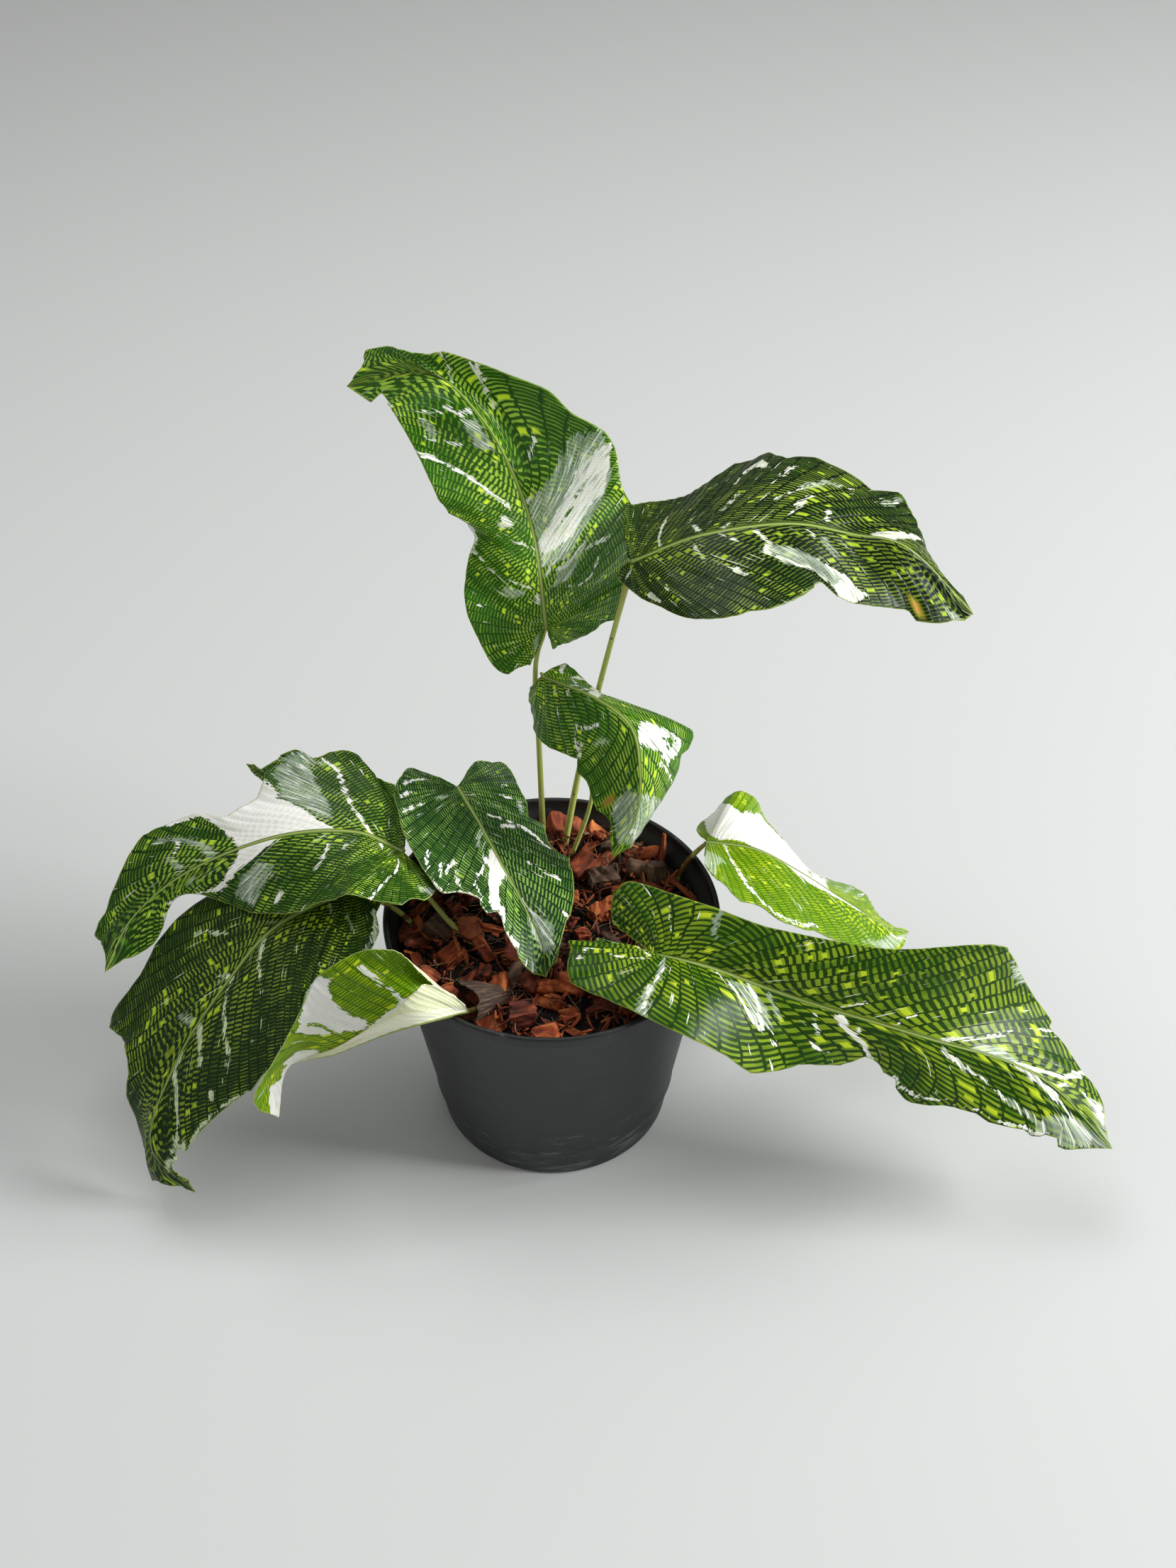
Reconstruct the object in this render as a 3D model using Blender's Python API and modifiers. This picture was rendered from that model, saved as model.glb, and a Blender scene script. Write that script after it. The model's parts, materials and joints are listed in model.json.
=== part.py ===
"""Potted calathea: a variegated network-leaf calathea in a plain nursery pot.

Metres, +Z up. The origin is the centre of the pot's base, and -Y is the front.
"""
import math
import random

import bmesh
import bpy
import numpy as np
from mathutils import Matrix, Vector

MM = 0.001
GAP = 0.3 * MM          # left between pieces that touch
WELD = 0.05 * MM

# Pot: a 15 cm nursery pot
POT_HEIGHT = 121 * MM
RIM_RADIUS = 75 * MM
RIM_DEPTH = 6.8 * MM
BASE_RADIUS = 53.4 * MM
SHOULDER_RADIUS = 71 * MM      # outside of the wall just under the rim band
WALL = 1.6 * MM
FLOOR = 2.4 * MM
FOOT_STEP_HEIGHT = 18 * MM     # the wall steps out a little above the foot
FOOT_STEP = 0.7 * MM
DRAIN_HOLES = 6
DRAIN_RADIUS = 4 * MM
DRAIN_CIRCLE = 34 * MM
POT_SIDES = 48

# Mix
MIX_TOP = 108 * MM
SOCKET_DEPTH = 11 * MM

# Blades
BLADE_THICK = 0.8 * MM
BLADE_STEPS = 14               # along each edge, notch to tip
VEIN_STEPS = 4                 # from midrib to edge
# Where the side vein of each edge point leaves the midrib, as a share of its length
VEIN_ROOT = (0.0, 0.0, 0.01, 0.06, 0.18, 0.38, 0.61, 0.82, 1.0)
VEIN_SWEEP = 1.6               # side veins leave the midrib squarely and then sweep to the tip

# Stems
STEM_TIP_SHARE = 0.62          # a stem's radius at the blade, as a share of its radius at the mix
STEM_FOOT = 9 * MM             # how far a stem goes into its socket

# Each blade: the midrib from notch to tip, the two edges between those ends, and the arch of each half,
# as a share of its width (positive bulges up). Left and right are seen from above with the tip ahead.
# Points are in millimetres.
BLADES = {
    "leaf_tall": dict(
        midrib=[(-2, 67, 227), (-6, 64, 275), (-13, 48, 317), (-24, 38, 349), (-44, 53, 359), (-80, 80, 338)],
        left=[(-11, 56, 213), (-25, 55, 217), (-36, 59, 251), (-30, 52, 286), (-41, 31, 317), (-53, 35, 348),
              (-61, 53, 347)],
        right=[(4, 72, 212), (27, 85, 221), (36, 97, 242), (31, 84, 289), (20, 47, 339), (-45, 56, 366),
               (-68, 75, 357)],
        arch=(0.02, 0.02)),
    "leaf_high_right": dict(
        midrib=[(34, 56, 270), (62, 56, 283), (98, 60, 286), (126, 67, 276), (149, 61, 273), (179, 56, 243)],
        left=[(31, 73, 276), (35, 87, 276), (55, 100, 273), (77, 109, 280), (108, 112, 288), (154, 97, 271),
              (162, 74, 259)],
        right=[(27, 52, 266), (42, 33, 265), (61, 16, 270), (91, 20, 274), (112, 38, 271), (132, 40, 258),
               (161, 47, 245)],
        arch=(0.02, 0.01)),
    "leaf_arched": dict(
        midrib=[(-4, 53, 212), (19, 37, 213), (34, 23, 209), (38, 12, 196), (37, 9, 171), (27, 6, 148)],
        left=[(2, 60, 209), (6, 63, 209), (23, 57, 198), (47, 45, 190), (62, 41, 190), (54, 28, 174),
              (38, 15, 152)],
        right=[(-9, 58, 199), (-8, 53, 188), (-1, 39, 186), (12, 22, 191), (12, 22, 193), (18, 17, 178),
               (25, 11, 165)],
        arch=(0.05, 0.05)),
    "leaf_white_sector": dict(
        midrib=[(-65, 10, 148), (-86, 14, 156), (-120, 13, 154), (-160, 10, 136), (-187, 2, 115),
                (-199, -17, 99)],
        left=[(-51, -10, 145), (-64, -24, 151), (-87, -25, 156), (-108, -23, 144), (-130, -8, 127),
              (-165, 6, 123), (-179, -3, 104)],
        right=[(-67, 30, 158), (-80, 44, 166), (-91, 51, 169), (-122, 44, 165), (-140, 28, 154),
               (-180, 32, 139), (-204, 5, 103)],
        arch=(0.02, 0.03)),
    "leaf_low_left": dict(
        midrib=[(-87, -1, 135), (-120, -12, 124), (-142, -26, 104), (-165, -46, 75), (-178, -70, 45),
                (-162, -73, 13)],
        left=[(-72, 1, 138), (-80, -26, 120), (-105, -38, 111), (-110, -51, 97), (-130, -61, 77),
              (-155, -73, 56), (-167, -75, 39)],
        right=[(-85, 9, 140), (-98, 19, 141), (-121, 22, 138), (-164, 9, 116), (-195, -23, 75),
               (-188, -44, 65), (-182, -68, 18)],
        arch=(0.03, 0.04)),
    "leaf_centre": dict(
        midrib=[(-43, 50, 150), (-32, 29, 146), (-22, 9, 141), (-12, -10, 135), (-4, -26, 127),
                (-2, -38, 119)],
        left=[(-35, 63, 153), (-22, 67, 147), (-13, 57, 137), (-4, 39, 134), (7, 17, 134), (9, -7, 135),
              (5, -27, 129)],
        right=[(-61, 53, 158), (-69, 42, 163), (-68, 24, 160), (-60, 4, 154), (-47, -13, 148),
               (-28, -22, 147), (-12, -36, 127)],
        arch=(0.02, 0.0)),
    "leaf_cream_young": dict(
        midrib=[(-35, -57, 119), (-51, -70, 127), (-69, -70, 119), (-91, -65, 101), (-114, -57, 82),
                (-120, -66, 58)],
        left=[(-39, -60, 127), (-44, -63, 138), (-51, -67, 147), (-58, -71, 142), (-70, -70, 128),
              (-92, -65, 104), (-116, -56, 82)],
        right=[(-41, -57, 128), (-50, -59, 140), (-58, -57, 151), (-74, -52, 152), (-96, -54, 138),
               (-105, -59, 120), (-126, -74, 82)],
        arch=(-0.04, -0.03)),
    "leaf_long_right": dict(
        midrib=[(43, -33, 129), (69, -39, 126), (109, -49, 116), (160, -56, 101), (212, -59, 79),
                (247, -75, 48)],
        left=[(28, -19, 135), (34, -8, 146), (79, -24, 143), (140, -38, 138), (190, -33, 132),
              (216, -26, 92), (243, -53, 61)],
        right=[(12, -28, 132), (14, -48, 130), (56, -72, 124), (101, -66, 92), (139, -59, 90),
               (159, -69, 71), (211, -75, 56)],
        arch=(0.03, 0.04)),
    "leaf_lime_right": dict(
        midrib=[(70, 34, 131), (92, 32, 128), (113, 33, 113), (136, 29, 97), (157, 29, 80), (171, 44, 61)],
        left=[(66, 47, 126), (71, 60, 121), (87, 72, 127), (100, 73, 111), (124, 61, 84), (146, 53, 80),
              (154, 41, 77)],
        right=[(69, 21, 137), (69, 9, 140), (80, -2, 134), (106, -4, 118), (124, 0, 104), (150, 7, 80),
               (165, 28, 64)],
        arch=(0.02, 0.03)),
    "leaf_back_left": dict(
        midrib=[(-85, 50, 132), (-97, 54, 140), (-110, 56, 144), (-123, 64, 142), (-134, 72, 138),
                (-146, 86, 132)],
        left=[(-84, 43, 128), (-94, 43, 130), (-106, 45, 130), (-118, 52, 130), (-127, 60, 132),
              (-134, 68, 134), (-141, 76, 134)],
        right=[(-90, 54, 146), (-100, 60, 152), (-113, 66, 152), (-120, 71, 152), (-128, 72, 147),
               (-135, 73, 141), (-141, 81, 136)],
        arch=(0.03, 0.03)),
}

# Each stem: its blade, the places it passes from the mix up, and its radius there, in millimetres
STEMS = {
    "stem_tall": dict(blade="leaf_tall", route=[(-5, 59, 108), (-6, 61, 165), (-7, 65, 206)], radius=1.6),
    "stem_high_right": dict(blade="leaf_high_right", route=[(5, 54, 108), (12, 58, 152), (21, 61, 199)],
                            radius=1.8),
    "stem_arched": dict(blade="leaf_arched", route=[(7, 43, 108), (18, 46, 150), (11, 50, 186)], radius=1.2),
    "stem_white_sector": dict(blade="leaf_white_sector", route=[(-36, -7, 108), (-47, -1, 117), (-60, 7, 133)],
                              radius=1.5),
    "stem_low_left": dict(blade="leaf_low_left", route=[(-61, 1, 108), (-67, 1, 118), (-76, 0, 127)],
                          radius=1.5),
    "stem_centre": dict(blade="leaf_centre", route=[(-30, 32, 108), (-37, 42, 130)], radius=1.4),
    "stem_cream_young": dict(blade="leaf_cream_young", route=[(-23, -43, 108), (-28, -49, 113)], radius=1.6),
    "stem_long_right": dict(blade="leaf_long_right", route=[(6, -35, 108), (15, -36, 116), (29, -35, 123)],
                            radius=1.8),
    "stem_lime_right": dict(blade="leaf_lime_right", route=[(57, 32, 108), (61, 32, 119), (66, 33, 126)],
                            radius=1.4),
    "stem_back_left": dict(blade="leaf_back_left", route=[(-48, 30, 108), (-60, 38, 123), (-72, 44, 130)],
                           radius=1.1),
}

# Dry sheath round the foot of the young leaf: its point, its mouth and its radii
BRACT_POINT = Vector((-17, -38, 109.7)) * MM
BRACT_MOUTH = Vector((-38, -53, 120)) * MM
BRACT_RADII = (1.6 * MM, 9.5 * MM)
BRACT_OPEN = math.radians(110)     # left open underneath
BRACT_THICK = 0.6 * MM

# Pieces of husk that show in front: place on the mix, length, width, height (mm) and turn (degrees)
SHOWN_CHIPS = [
    (-12, -55, 15, 13, 13, 8), (2, -57, 14, 13, 12, -12), (16, -55, 15, 14, 12, 20), (-31, -29, 20, 13, 12, -25),
    (24, 27, 18, 14, 12, 10), (23, 8, 18, 11, 10, 35), (-43, 9, 15, 13, 10, 15), (-57, -6, 18, 10, 9, -50),
    (-44, -19, 16, 12, 9, 40), (-16, -17, 15, 12, 9, 70), (24, -8, 15, 10, 9, -20), (64, 15, 14, 11, 10, 60),
    (17, 56, 14, 10, 9, 30), (33, 58, 16, 10, 10, -30), (-18, 61, 15, 11, 9, 15), (48, 47, 14, 10, 9, 50),
    (10, 18, 14, 12, 9, 5), (-52, -33, 14, 10, 8, 30), (33, -50, 14, 12, 10, -35),
]
LOOSE_CHIPS = 12               # more of them where there is room
CHIP_SIZE = (9 * MM, 14 * MM)
CHIP_LEAST = 4 * MM            # a chip lower than this is left out
CHIP_BEVEL = 0.9 * MM
CHIP_REACH = 67.5 * MM         # chips stay inside this radius
HEADROOM = 0.9 * MM            # kept under blades and stems

# The stub of an old leaf, and a shard of husk that stands up beside it
STUB_FOOT = Vector((47, 31, 108.3)) * MM
STUB_HEIGHT = 12 * MM
STUB_RADII = (8 * MM, 5 * MM)
SHARD_FOOT = Vector((50, 41.5, 108.3)) * MM
SHARD_SIZE = (7 * MM, 3.6 * MM, 22 * MM)


def smooth(keys, share):
    """The point at a share (0 to 1) along an even Catmull-Rom curve through the keys."""
    keys = [np.array(k, dtype=float) for k in keys]
    keys = [2 * keys[0] - keys[1], *keys, 2 * keys[-1] - keys[-2]]
    spans = len(keys) - 3
    place = min(max(share, 0.0), 1.0) * spans
    i = min(int(place), spans - 1)
    f = place - i
    a, b, c, d = keys[i:i + 4]
    return b + 0.5 * f * (c - a + f * (2 * a - 5 * b + 4 * c - d + f * (3 * (b - c) + d - a)))


def unit(v):
    return v / max(np.linalg.norm(v), 1e-12)


class Midrib:
    """A midrib curve, read at a share of its length."""

    def __init__(self, keys, steps=80):
        self.points = np.array([smooth(keys, i / steps) for i in range(steps + 1)]) * MM
        lengths = np.linalg.norm(np.diff(self.points, axis=0), axis=1)
        self.shares = np.concatenate([[0.0], np.cumsum(lengths)]) / lengths.sum()

    def at(self, share):
        return np.array([np.interp(share, self.shares, self.points[:, k]) for k in range(3)])

    def ahead(self, share):
        return unit(self.at(min(share + 0.03, 1.0)) - self.at(max(share - 0.03, 0.0)))


def blade_half(blade, side):
    """Rows of points from the midrib to one edge; side is 1 for the left half and -1 for the right."""
    midrib = Midrib(blade["midrib"])
    inner = blade["left"] if side > 0 else blade["right"]
    edge = [blade["midrib"][0], *inner, blade["midrib"][-1]]
    arch = blade["arch"][0 if side > 0 else 1]
    rows = []
    for i in range(BLADE_STEPS + 1):
        share = i / BLADE_STEPS
        root_share = float(smooth(VEIN_ROOT, share))
        root = midrib.at(root_share)
        ahead = midrib.ahead(root_share)
        chord = smooth(edge, share) * MM - root
        up = unit(np.cross(ahead, chord)) * side
        width = np.linalg.norm(chord)
        row = []
        for j in range(VEIN_STEPS + 1):
            v = j / VEIN_STEPS
            swept = ahead * chord.dot(ahead) * (v - v ** VEIN_SWEEP)
            row.append(root + chord * v - swept + up * width * arch * 4 * v * (1 - v))
        rows.append(row)
    return rows


def plain_material(name, colour, roughness):
    """A Principled material of one sRGB colour."""
    material = bpy.data.materials.new(name)
    material.use_nodes = True
    shader = material.node_tree.nodes["Principled BSDF"]
    linear = [c / 12.92 if c <= 0.04045 else ((c + 0.055) / 1.055) ** 2.4 for c in colour]
    shader.inputs["Base Color"].default_value = (*linear, 1.0)
    shader.inputs["Roughness"].default_value = roughness
    shader.inputs["Metallic"].default_value = 0.0
    material.diffuse_color = (*linear, 1.0)
    return material


def add_object(name, data, material, collection):
    obj = bpy.data.objects.new(name, data)
    obj.data.materials.append(material)
    collection.objects.link(obj)
    return obj


def object_from_bmesh(name, bm, material, collection):
    bmesh.ops.recalc_face_normals(bm, faces=bm.faces)
    mesh = bpy.data.meshes.new(name)
    bm.to_mesh(mesh)
    bm.free()
    return add_object(name, mesh, material, collection)


def sheet_from_rows(bm, rows, flip=False):
    """Quads between rows of points of one length."""
    verts = [[bm.verts.new(p) for p in row] for row in rows]
    for low, high in zip(verts, verts[1:]):
        for j in range(len(low) - 1):
            corners = [low[j], high[j], high[j + 1], low[j + 1]]
            bm.faces.new(corners[::-1] if flip else corners)


def thicken(obj, thickness):
    solid = obj.modifiers.new("thickness", "SOLIDIFY")
    solid.thickness = thickness
    solid.offset = 0.0


def make_blade(name, blade, material, collection):
    """One leaf: both halves as one sheet, with the blade's thickness."""
    bm = bmesh.new()
    sheet_from_rows(bm, blade_half(blade, 1))
    sheet_from_rows(bm, blade_half(blade, -1), flip=True)
    bmesh.ops.remove_doubles(bm, verts=bm.verts, dist=WELD)
    bmesh.ops.dissolve_degenerate(bm, edges=bm.edges, dist=WELD)
    mesh = bpy.data.meshes.new(name)
    bm.to_mesh(mesh)
    bm.free()
    mesh.shade_smooth()
    obj = add_object(name, mesh, material, collection)
    thicken(obj, BLADE_THICK)
    return obj


def stem_seat(blade, radius, last):
    """Where a stem ends, just under the notch of its blade."""
    midrib = Midrib(blade["midrib"])
    notch = midrib.at(0.0)
    across = np.array(blade["left"][0]) - np.array(blade["right"][0])
    up = unit(np.cross(midrib.ahead(0.02), across))
    arrives = unit(notch - np.array(last) * MM)
    lean = np.linalg.norm(np.cross(arrives, up))
    droop = max(-unit(np.array(blade[edge][0]) * MM - notch).dot(up) for edge in ("left", "right"))
    below = BLADE_THICK / 2 + GAP + radius * (0.5 + 0.75 * lean + 1.0 * max(droop, 0.0))
    return (notch - up * below) / MM


def stem_points(stem):
    """Places along a stem from its foot in the mix to its seat, in metres."""
    route = [np.array(p, dtype=float) for p in stem["route"]]
    rise = unit(route[1] - route[0])
    foot = route[0] - rise * STEM_FOOT / MM
    tip_radius = stem["radius"] * STEM_TIP_SHARE * MM
    keys = [foot, *route, stem_seat(BLADES[stem["blade"]], tip_radius, route[-1])]
    steps = 2 * (len(keys) - 1)
    return [smooth(keys, i / steps) * MM for i in range(steps + 1)]


def make_stem(name, stem, material, collection):
    """A tube that thins towards the blade."""
    points = stem_points(stem)
    curve = bpy.data.curves.new(name, "CURVE")
    curve.dimensions = "3D"
    curve.bevel_depth = stem["radius"] * MM
    curve.bevel_resolution = 2
    curve.use_fill_caps = True
    spline = curve.splines.new("POLY")
    spline.points.add(len(points) - 1)
    for i, p in enumerate(points):
        spline.points[i].co = (*p, 1.0)
        spline.points[i].radius = 1 - (1 - STEM_TIP_SHARE) * i / (len(points) - 1)
    return add_object(name, curve, material, collection)


def wall_radius(height):
    """Outside radius of the plain wall."""
    return BASE_RADIUS + (SHOULDER_RADIUS - BASE_RADIUS) * height / (POT_HEIGHT - RIM_DEPTH)


def make_pot(material, collection, cutters):
    """Turned pot with a rim band, then drain holes through its floor."""
    band = POT_HEIGHT - RIM_DEPTH
    inner_floor = wall_radius(FLOOR) - WALL
    profile = [
        (0.0, FLOOR), (inner_floor - 1 * MM, FLOOR), (inner_floor + 0.17 * MM, FLOOR + 1 * MM),
        (wall_radius(band) - WALL, band), (RIM_RADIUS - 2.6 * MM, band + 1.5 * MM),
        (RIM_RADIUS - 2.4 * MM, POT_HEIGHT - 0.6 * MM), (RIM_RADIUS - 1.8 * MM, POT_HEIGHT),
        (RIM_RADIUS - 0.6 * MM, POT_HEIGHT), (RIM_RADIUS, POT_HEIGHT - 0.7 * MM),
        (RIM_RADIUS - 0.3 * MM, band + 0.5 * MM), (RIM_RADIUS - 0.9 * MM, band),
        (wall_radius(band), band - 0.4 * MM),
        (wall_radius(FOOT_STEP_HEIGHT) + FOOT_STEP, FOOT_STEP_HEIGHT + 1 * MM),
        (wall_radius(FOOT_STEP_HEIGHT), FOOT_STEP_HEIGHT),
        (BASE_RADIUS + 0.3 * MM, 2.4 * MM), (BASE_RADIUS - 0.6 * MM, 0.7 * MM), (BASE_RADIUS - 2.2 * MM, 0.0),
        (0.0, 0.0),
    ]
    mesh = bpy.data.meshes.new("nursery_pot")
    edges = [(i, i + 1) for i in range(len(profile) - 1)]
    mesh.from_pydata([(r, 0.0, z) for r, z in profile], edges, [])
    pot = add_object("nursery_pot", mesh, material, collection)
    turn = pot.modifiers.new("turned", "SCREW")
    turn.steps = turn.render_steps = POT_SIDES
    turn.use_merge_vertices = True
    turn.merge_threshold = 0.01 * MM
    for i in range(DRAIN_HOLES):
        angle = math.tau * i / DRAIN_HOLES
        bpy.ops.mesh.primitive_cylinder_add(
            vertices=12, radius=DRAIN_RADIUS, depth=4 * FLOOR,
            location=(DRAIN_CIRCLE * math.cos(angle), DRAIN_CIRCLE * math.sin(angle), FLOOR / 2))
        cut(pot, bpy.context.object, cutters)
    return pot


def cut(obj, cutter, cutters):
    """Takes the cutter out of an object with a Boolean, and puts it away."""
    for other in list(cutter.users_collection):
        other.objects.unlink(cutter)
    cutters.objects.link(cutter)
    cutter.hide_render = True
    cutter.display_type = "WIRE"
    boolean = obj.modifiers.new("cut", "BOOLEAN")
    boolean.operation = "DIFFERENCE"
    boolean.object = cutter


def make_mix(material, collection, cutters):
    """Fill of the pot, with a socket round the foot of each stem."""
    low, high = FLOOR + GAP, MIX_TOP
    profile = [
        (0.0, high), (wall_radius(high) - WALL - GAP - 1 * MM, high), (wall_radius(high) - WALL - GAP, high - 1 * MM),
        (wall_radius(low) - WALL - 1.2 * MM, low + 1.8 * MM), (wall_radius(low) - WALL - 2.6 * MM, low),
        (0.0, low),
    ]
    mesh = bpy.data.meshes.new("potting_mix")
    edges = [(i, i + 1) for i in range(len(profile) - 1)]
    mesh.from_pydata([(r, 0.0, z) for r, z in profile], edges, [])
    mix = add_object("potting_mix", mesh, material, collection)
    turn = mix.modifiers.new("turned", "SCREW")
    turn.steps = turn.render_steps = POT_SIDES
    turn.use_merge_vertices = True
    turn.merge_threshold = 0.01 * MM
    for stem in STEMS.values():
        foot, above = Vector(stem["route"][0]) * MM, Vector(stem["route"][1]) * MM
        rise = (above - foot).normalized()
        middle = foot - rise * (SOCKET_DEPTH / 2 - 3 * MM)
        bpy.ops.mesh.primitive_cylinder_add(
            vertices=10, radius=(stem["radius"] * MM + GAP) / math.cos(math.pi / 10),
            depth=SOCKET_DEPTH + 6 * MM, location=middle, rotation=rise.to_track_quat("Z", "Y").to_euler())
        cut(mix, bpy.context.object, cutters)
    return mix


def make_bract(material, collection):
    """Curled papery sheath, open underneath."""
    axis = BRACT_MOUTH - BRACT_POINT
    turn = axis.to_track_quat("Z", "Y").to_matrix()
    rows = []
    for i in range(6):
        share = i / 5
        radius = BRACT_RADII[0] + (BRACT_RADII[1] - BRACT_RADII[0]) * share ** 0.8
        row = []
        for j in range(11):
            across = j / 10 * 2 - 1
            angle = across * (math.pi - BRACT_OPEN / 2) + math.pi / 2
            along = share * (1 - 0.22 * across ** 2) + 0.06 * share * math.sin(5 * across)
            spot = turn @ Vector((radius * math.cos(angle), radius * math.sin(angle), 0.0))
            row.append(BRACT_POINT + axis * along + spot)
        rows.append(row)
    bm = bmesh.new()
    sheet_from_rows(bm, rows)
    obj = object_from_bmesh("papery_bract", bm, material, collection)
    obj.data.shade_smooth()
    thicken(obj, BRACT_THICK)
    return obj


class Overhead:
    """What hangs over the mix: every stem and blade, as points and their radii."""

    def __init__(self):
        points = []
        for stem in STEMS.values():
            route = stem_points(stem)
            for a, b in zip(route, route[1:]):
                points += [(*(a + (b - a) * t), stem["radius"] * MM) for t in np.linspace(0, 1, 9)]
        for blade in BLADES.values():
            for side in (1, -1):
                points += [(*p, BLADE_THICK) for row in blade_half(blade, side) for p in row]
        self.points = np.array(points)

    def room(self, x, y, reach):
        """Lowest height of anything within reach of a spot."""
        flat = np.hypot(self.points[:, 0] - x, self.points[:, 1] - y)
        near = self.points[flat < reach + self.points[:, 3]]
        return (near[:, 2] - near[:, 3]).min() if len(near) else 1.0


def chip_plan(rng):
    """Shown chips, then loose ones where there is room, as (x, y, length, width, height, turn)."""
    overhead = Overhead()
    taken = [(STUB_FOOT.x, STUB_FOOT.y, STUB_RADII[0]), (SHARD_FOOT.x, SHARD_FOOT.y, SHARD_SIZE[0] / 2)]
    taken += [(*(BRACT_POINT + (BRACT_MOUTH - BRACT_POINT) * t).xy, 7 * MM) for t in (0.0, 0.35, 0.7)]
    wanted = [tuple(v * MM for v in chip[:5]) + (math.radians(chip[5]),) for chip in SHOWN_CHIPS]
    for _ in range(900):
        spread, angle = CHIP_REACH * math.sqrt(rng.random()), rng.uniform(0, math.tau)
        length, width, height = (rng.uniform(*CHIP_SIZE) * share for share in (1.0, 0.8, 0.7))
        wanted.append((spread * math.cos(angle), spread * math.sin(angle), length, width, height,
                       rng.uniform(0, math.pi)))
    plan = []
    for x, y, length, width, height, turn in wanted:
        reach = 0.5 * math.hypot(length, width)
        if math.hypot(x, y) + reach > CHIP_REACH:
            continue
        if any(math.hypot(x - a, y - b) < 0.86 * (reach + c) for a, b, c in taken):
            continue
        height = min(height, overhead.room(x, y, reach + 1 * MM) - HEADROOM - MIX_TOP - GAP)
        if height < CHIP_LEAST:
            continue
        plan.append((x, y, length, width, height, turn))
        taken.append((x, y, reach))
        if len(plan) == len(SHOWN_CHIPS) + LOOSE_CHIPS:
            break
    return plan


def make_chip(name, chip, rng, material, collection):
    """A block of husk with its corners knocked off, its lowest corner on the mix."""
    x, y, length, width, height, turn = chip
    bm = bmesh.new()
    bmesh.ops.create_cube(bm, size=1.0)
    bmesh.ops.scale(bm, vec=(length, width, height), verts=bm.verts)
    for v in bm.verts:
        v.co.x *= 1 - rng.uniform(0.0, 0.22)
        v.co.y *= 1 - rng.uniform(0.0, 0.22)
        if v.co.z > 0:
            v.co.z *= 1 - rng.uniform(0.0, 0.35)
    bmesh.ops.bevel(bm, geom=bm.edges, offset=CHIP_BEVEL, segments=1, affect="EDGES")
    bmesh.ops.rotate(bm, cent=(0, 0, 0), matrix=Matrix.Rotation(turn, 3, "Z"), verts=bm.verts)
    lowest = min(v.co.z for v in bm.verts)
    bmesh.ops.translate(bm, vec=(0, 0, -lowest), verts=bm.verts)
    obj = object_from_bmesh(name, bm, material, collection)
    obj.location = (x, y, MIX_TOP + GAP)
    return obj


def make_stub(material, collection):
    """Cut foot of an old leaf, flared at the mix and split at the top."""
    bpy.ops.mesh.primitive_cone_add(vertices=12, radius1=STUB_RADII[0], radius2=STUB_RADII[1],
                                    depth=STUB_HEIGHT, location=STUB_FOOT + Vector((0, 0, STUB_HEIGHT / 2)))
    stub = bpy.context.object
    stub.name = stub.data.name = "old_leaf_stub"
    for i, v in enumerate(stub.data.vertices):
        if v.co.z > 0:
            v.co.z *= 1.0 - 0.35 * (i % 4 > 1)
        v.co.y *= 0.62
    move_to(stub, collection, material)
    return stub


def make_shard(material, collection):
    """Thin splinter of husk that stands up, wide at its foot."""
    bm = bmesh.new()
    bmesh.ops.create_cube(bm, size=1.0)
    bmesh.ops.scale(bm, vec=SHARD_SIZE, verts=bm.verts)
    for v in bm.verts:
        if v.co.z > 0:
            v.co.x = v.co.x * 0.3 + 1.5 * MM
            v.co.y *= 0.5
    bmesh.ops.translate(bm, vec=(0, 0, SHARD_SIZE[2] / 2), verts=bm.verts)
    bmesh.ops.rotate(bm, cent=(0, 0, 0), matrix=Matrix.Rotation(math.radians(-51), 3, "Z"), verts=bm.verts)
    obj = object_from_bmesh("husk_shard", bm, material, collection)
    obj.location = SHARD_FOOT
    return obj


def move_to(obj, collection, material):
    for other in list(obj.users_collection):
        other.objects.unlink(obj)
    collection.objects.link(obj)
    obj.data.materials.clear()
    obj.data.materials.append(material)


def main():
    for obj in list(bpy.data.objects):
        bpy.data.objects.remove(obj, do_unlink=True)
    collection = bpy.data.collections.new("potted_calathea")
    cutters = bpy.data.collections.new("cutters")
    bpy.context.scene.collection.children.link(collection)
    bpy.context.scene.collection.children.link(cutters)
    rng = random.Random(5)

    plastic = plain_material("black_polypropylene", (0.17, 0.18, 0.19), 0.6)
    mix = plain_material("dark_bark_mix", (0.16, 0.11, 0.08), 0.95)
    green = plain_material("leaf_green", (0.22, 0.36, 0.10), 0.45)
    cream = plain_material("leaf_cream", (0.85, 0.84, 0.66), 0.45)
    stalk = plain_material("stem_green", (0.55, 0.58, 0.18), 0.5)
    paper = plain_material("dry_sheath", (0.33, 0.25, 0.19), 0.85)
    husk = plain_material("coir_husk", (0.50, 0.27, 0.15), 0.9)

    make_pot(plastic, collection, cutters)
    make_mix(mix, collection, cutters)
    for name, blade in BLADES.items():
        make_blade(name, blade, cream if name == "leaf_cream_young" else green, collection)
    for name, stem in STEMS.items():
        make_stem(name, stem, stalk, collection)
    make_bract(paper, collection)
    make_stub(paper, collection)
    make_shard(husk, collection)
    for i, chip in enumerate(chip_plan(rng)):
        make_chip(f"husk_chip_{i + 1:02d}", chip, rng, husk, collection)


main()
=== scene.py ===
"""Potted calathea: the finish of every leaf, stem, husk chip and the nursery pot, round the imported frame.

Metres, +Z up. Blade curves and stem routes are written in millimetres and turned to metres where they are
read.
"""
import json
import math
import random
from functools import partial

import bmesh
import bpy
import numpy as np
from mathutils import Matrix, Vector

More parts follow.
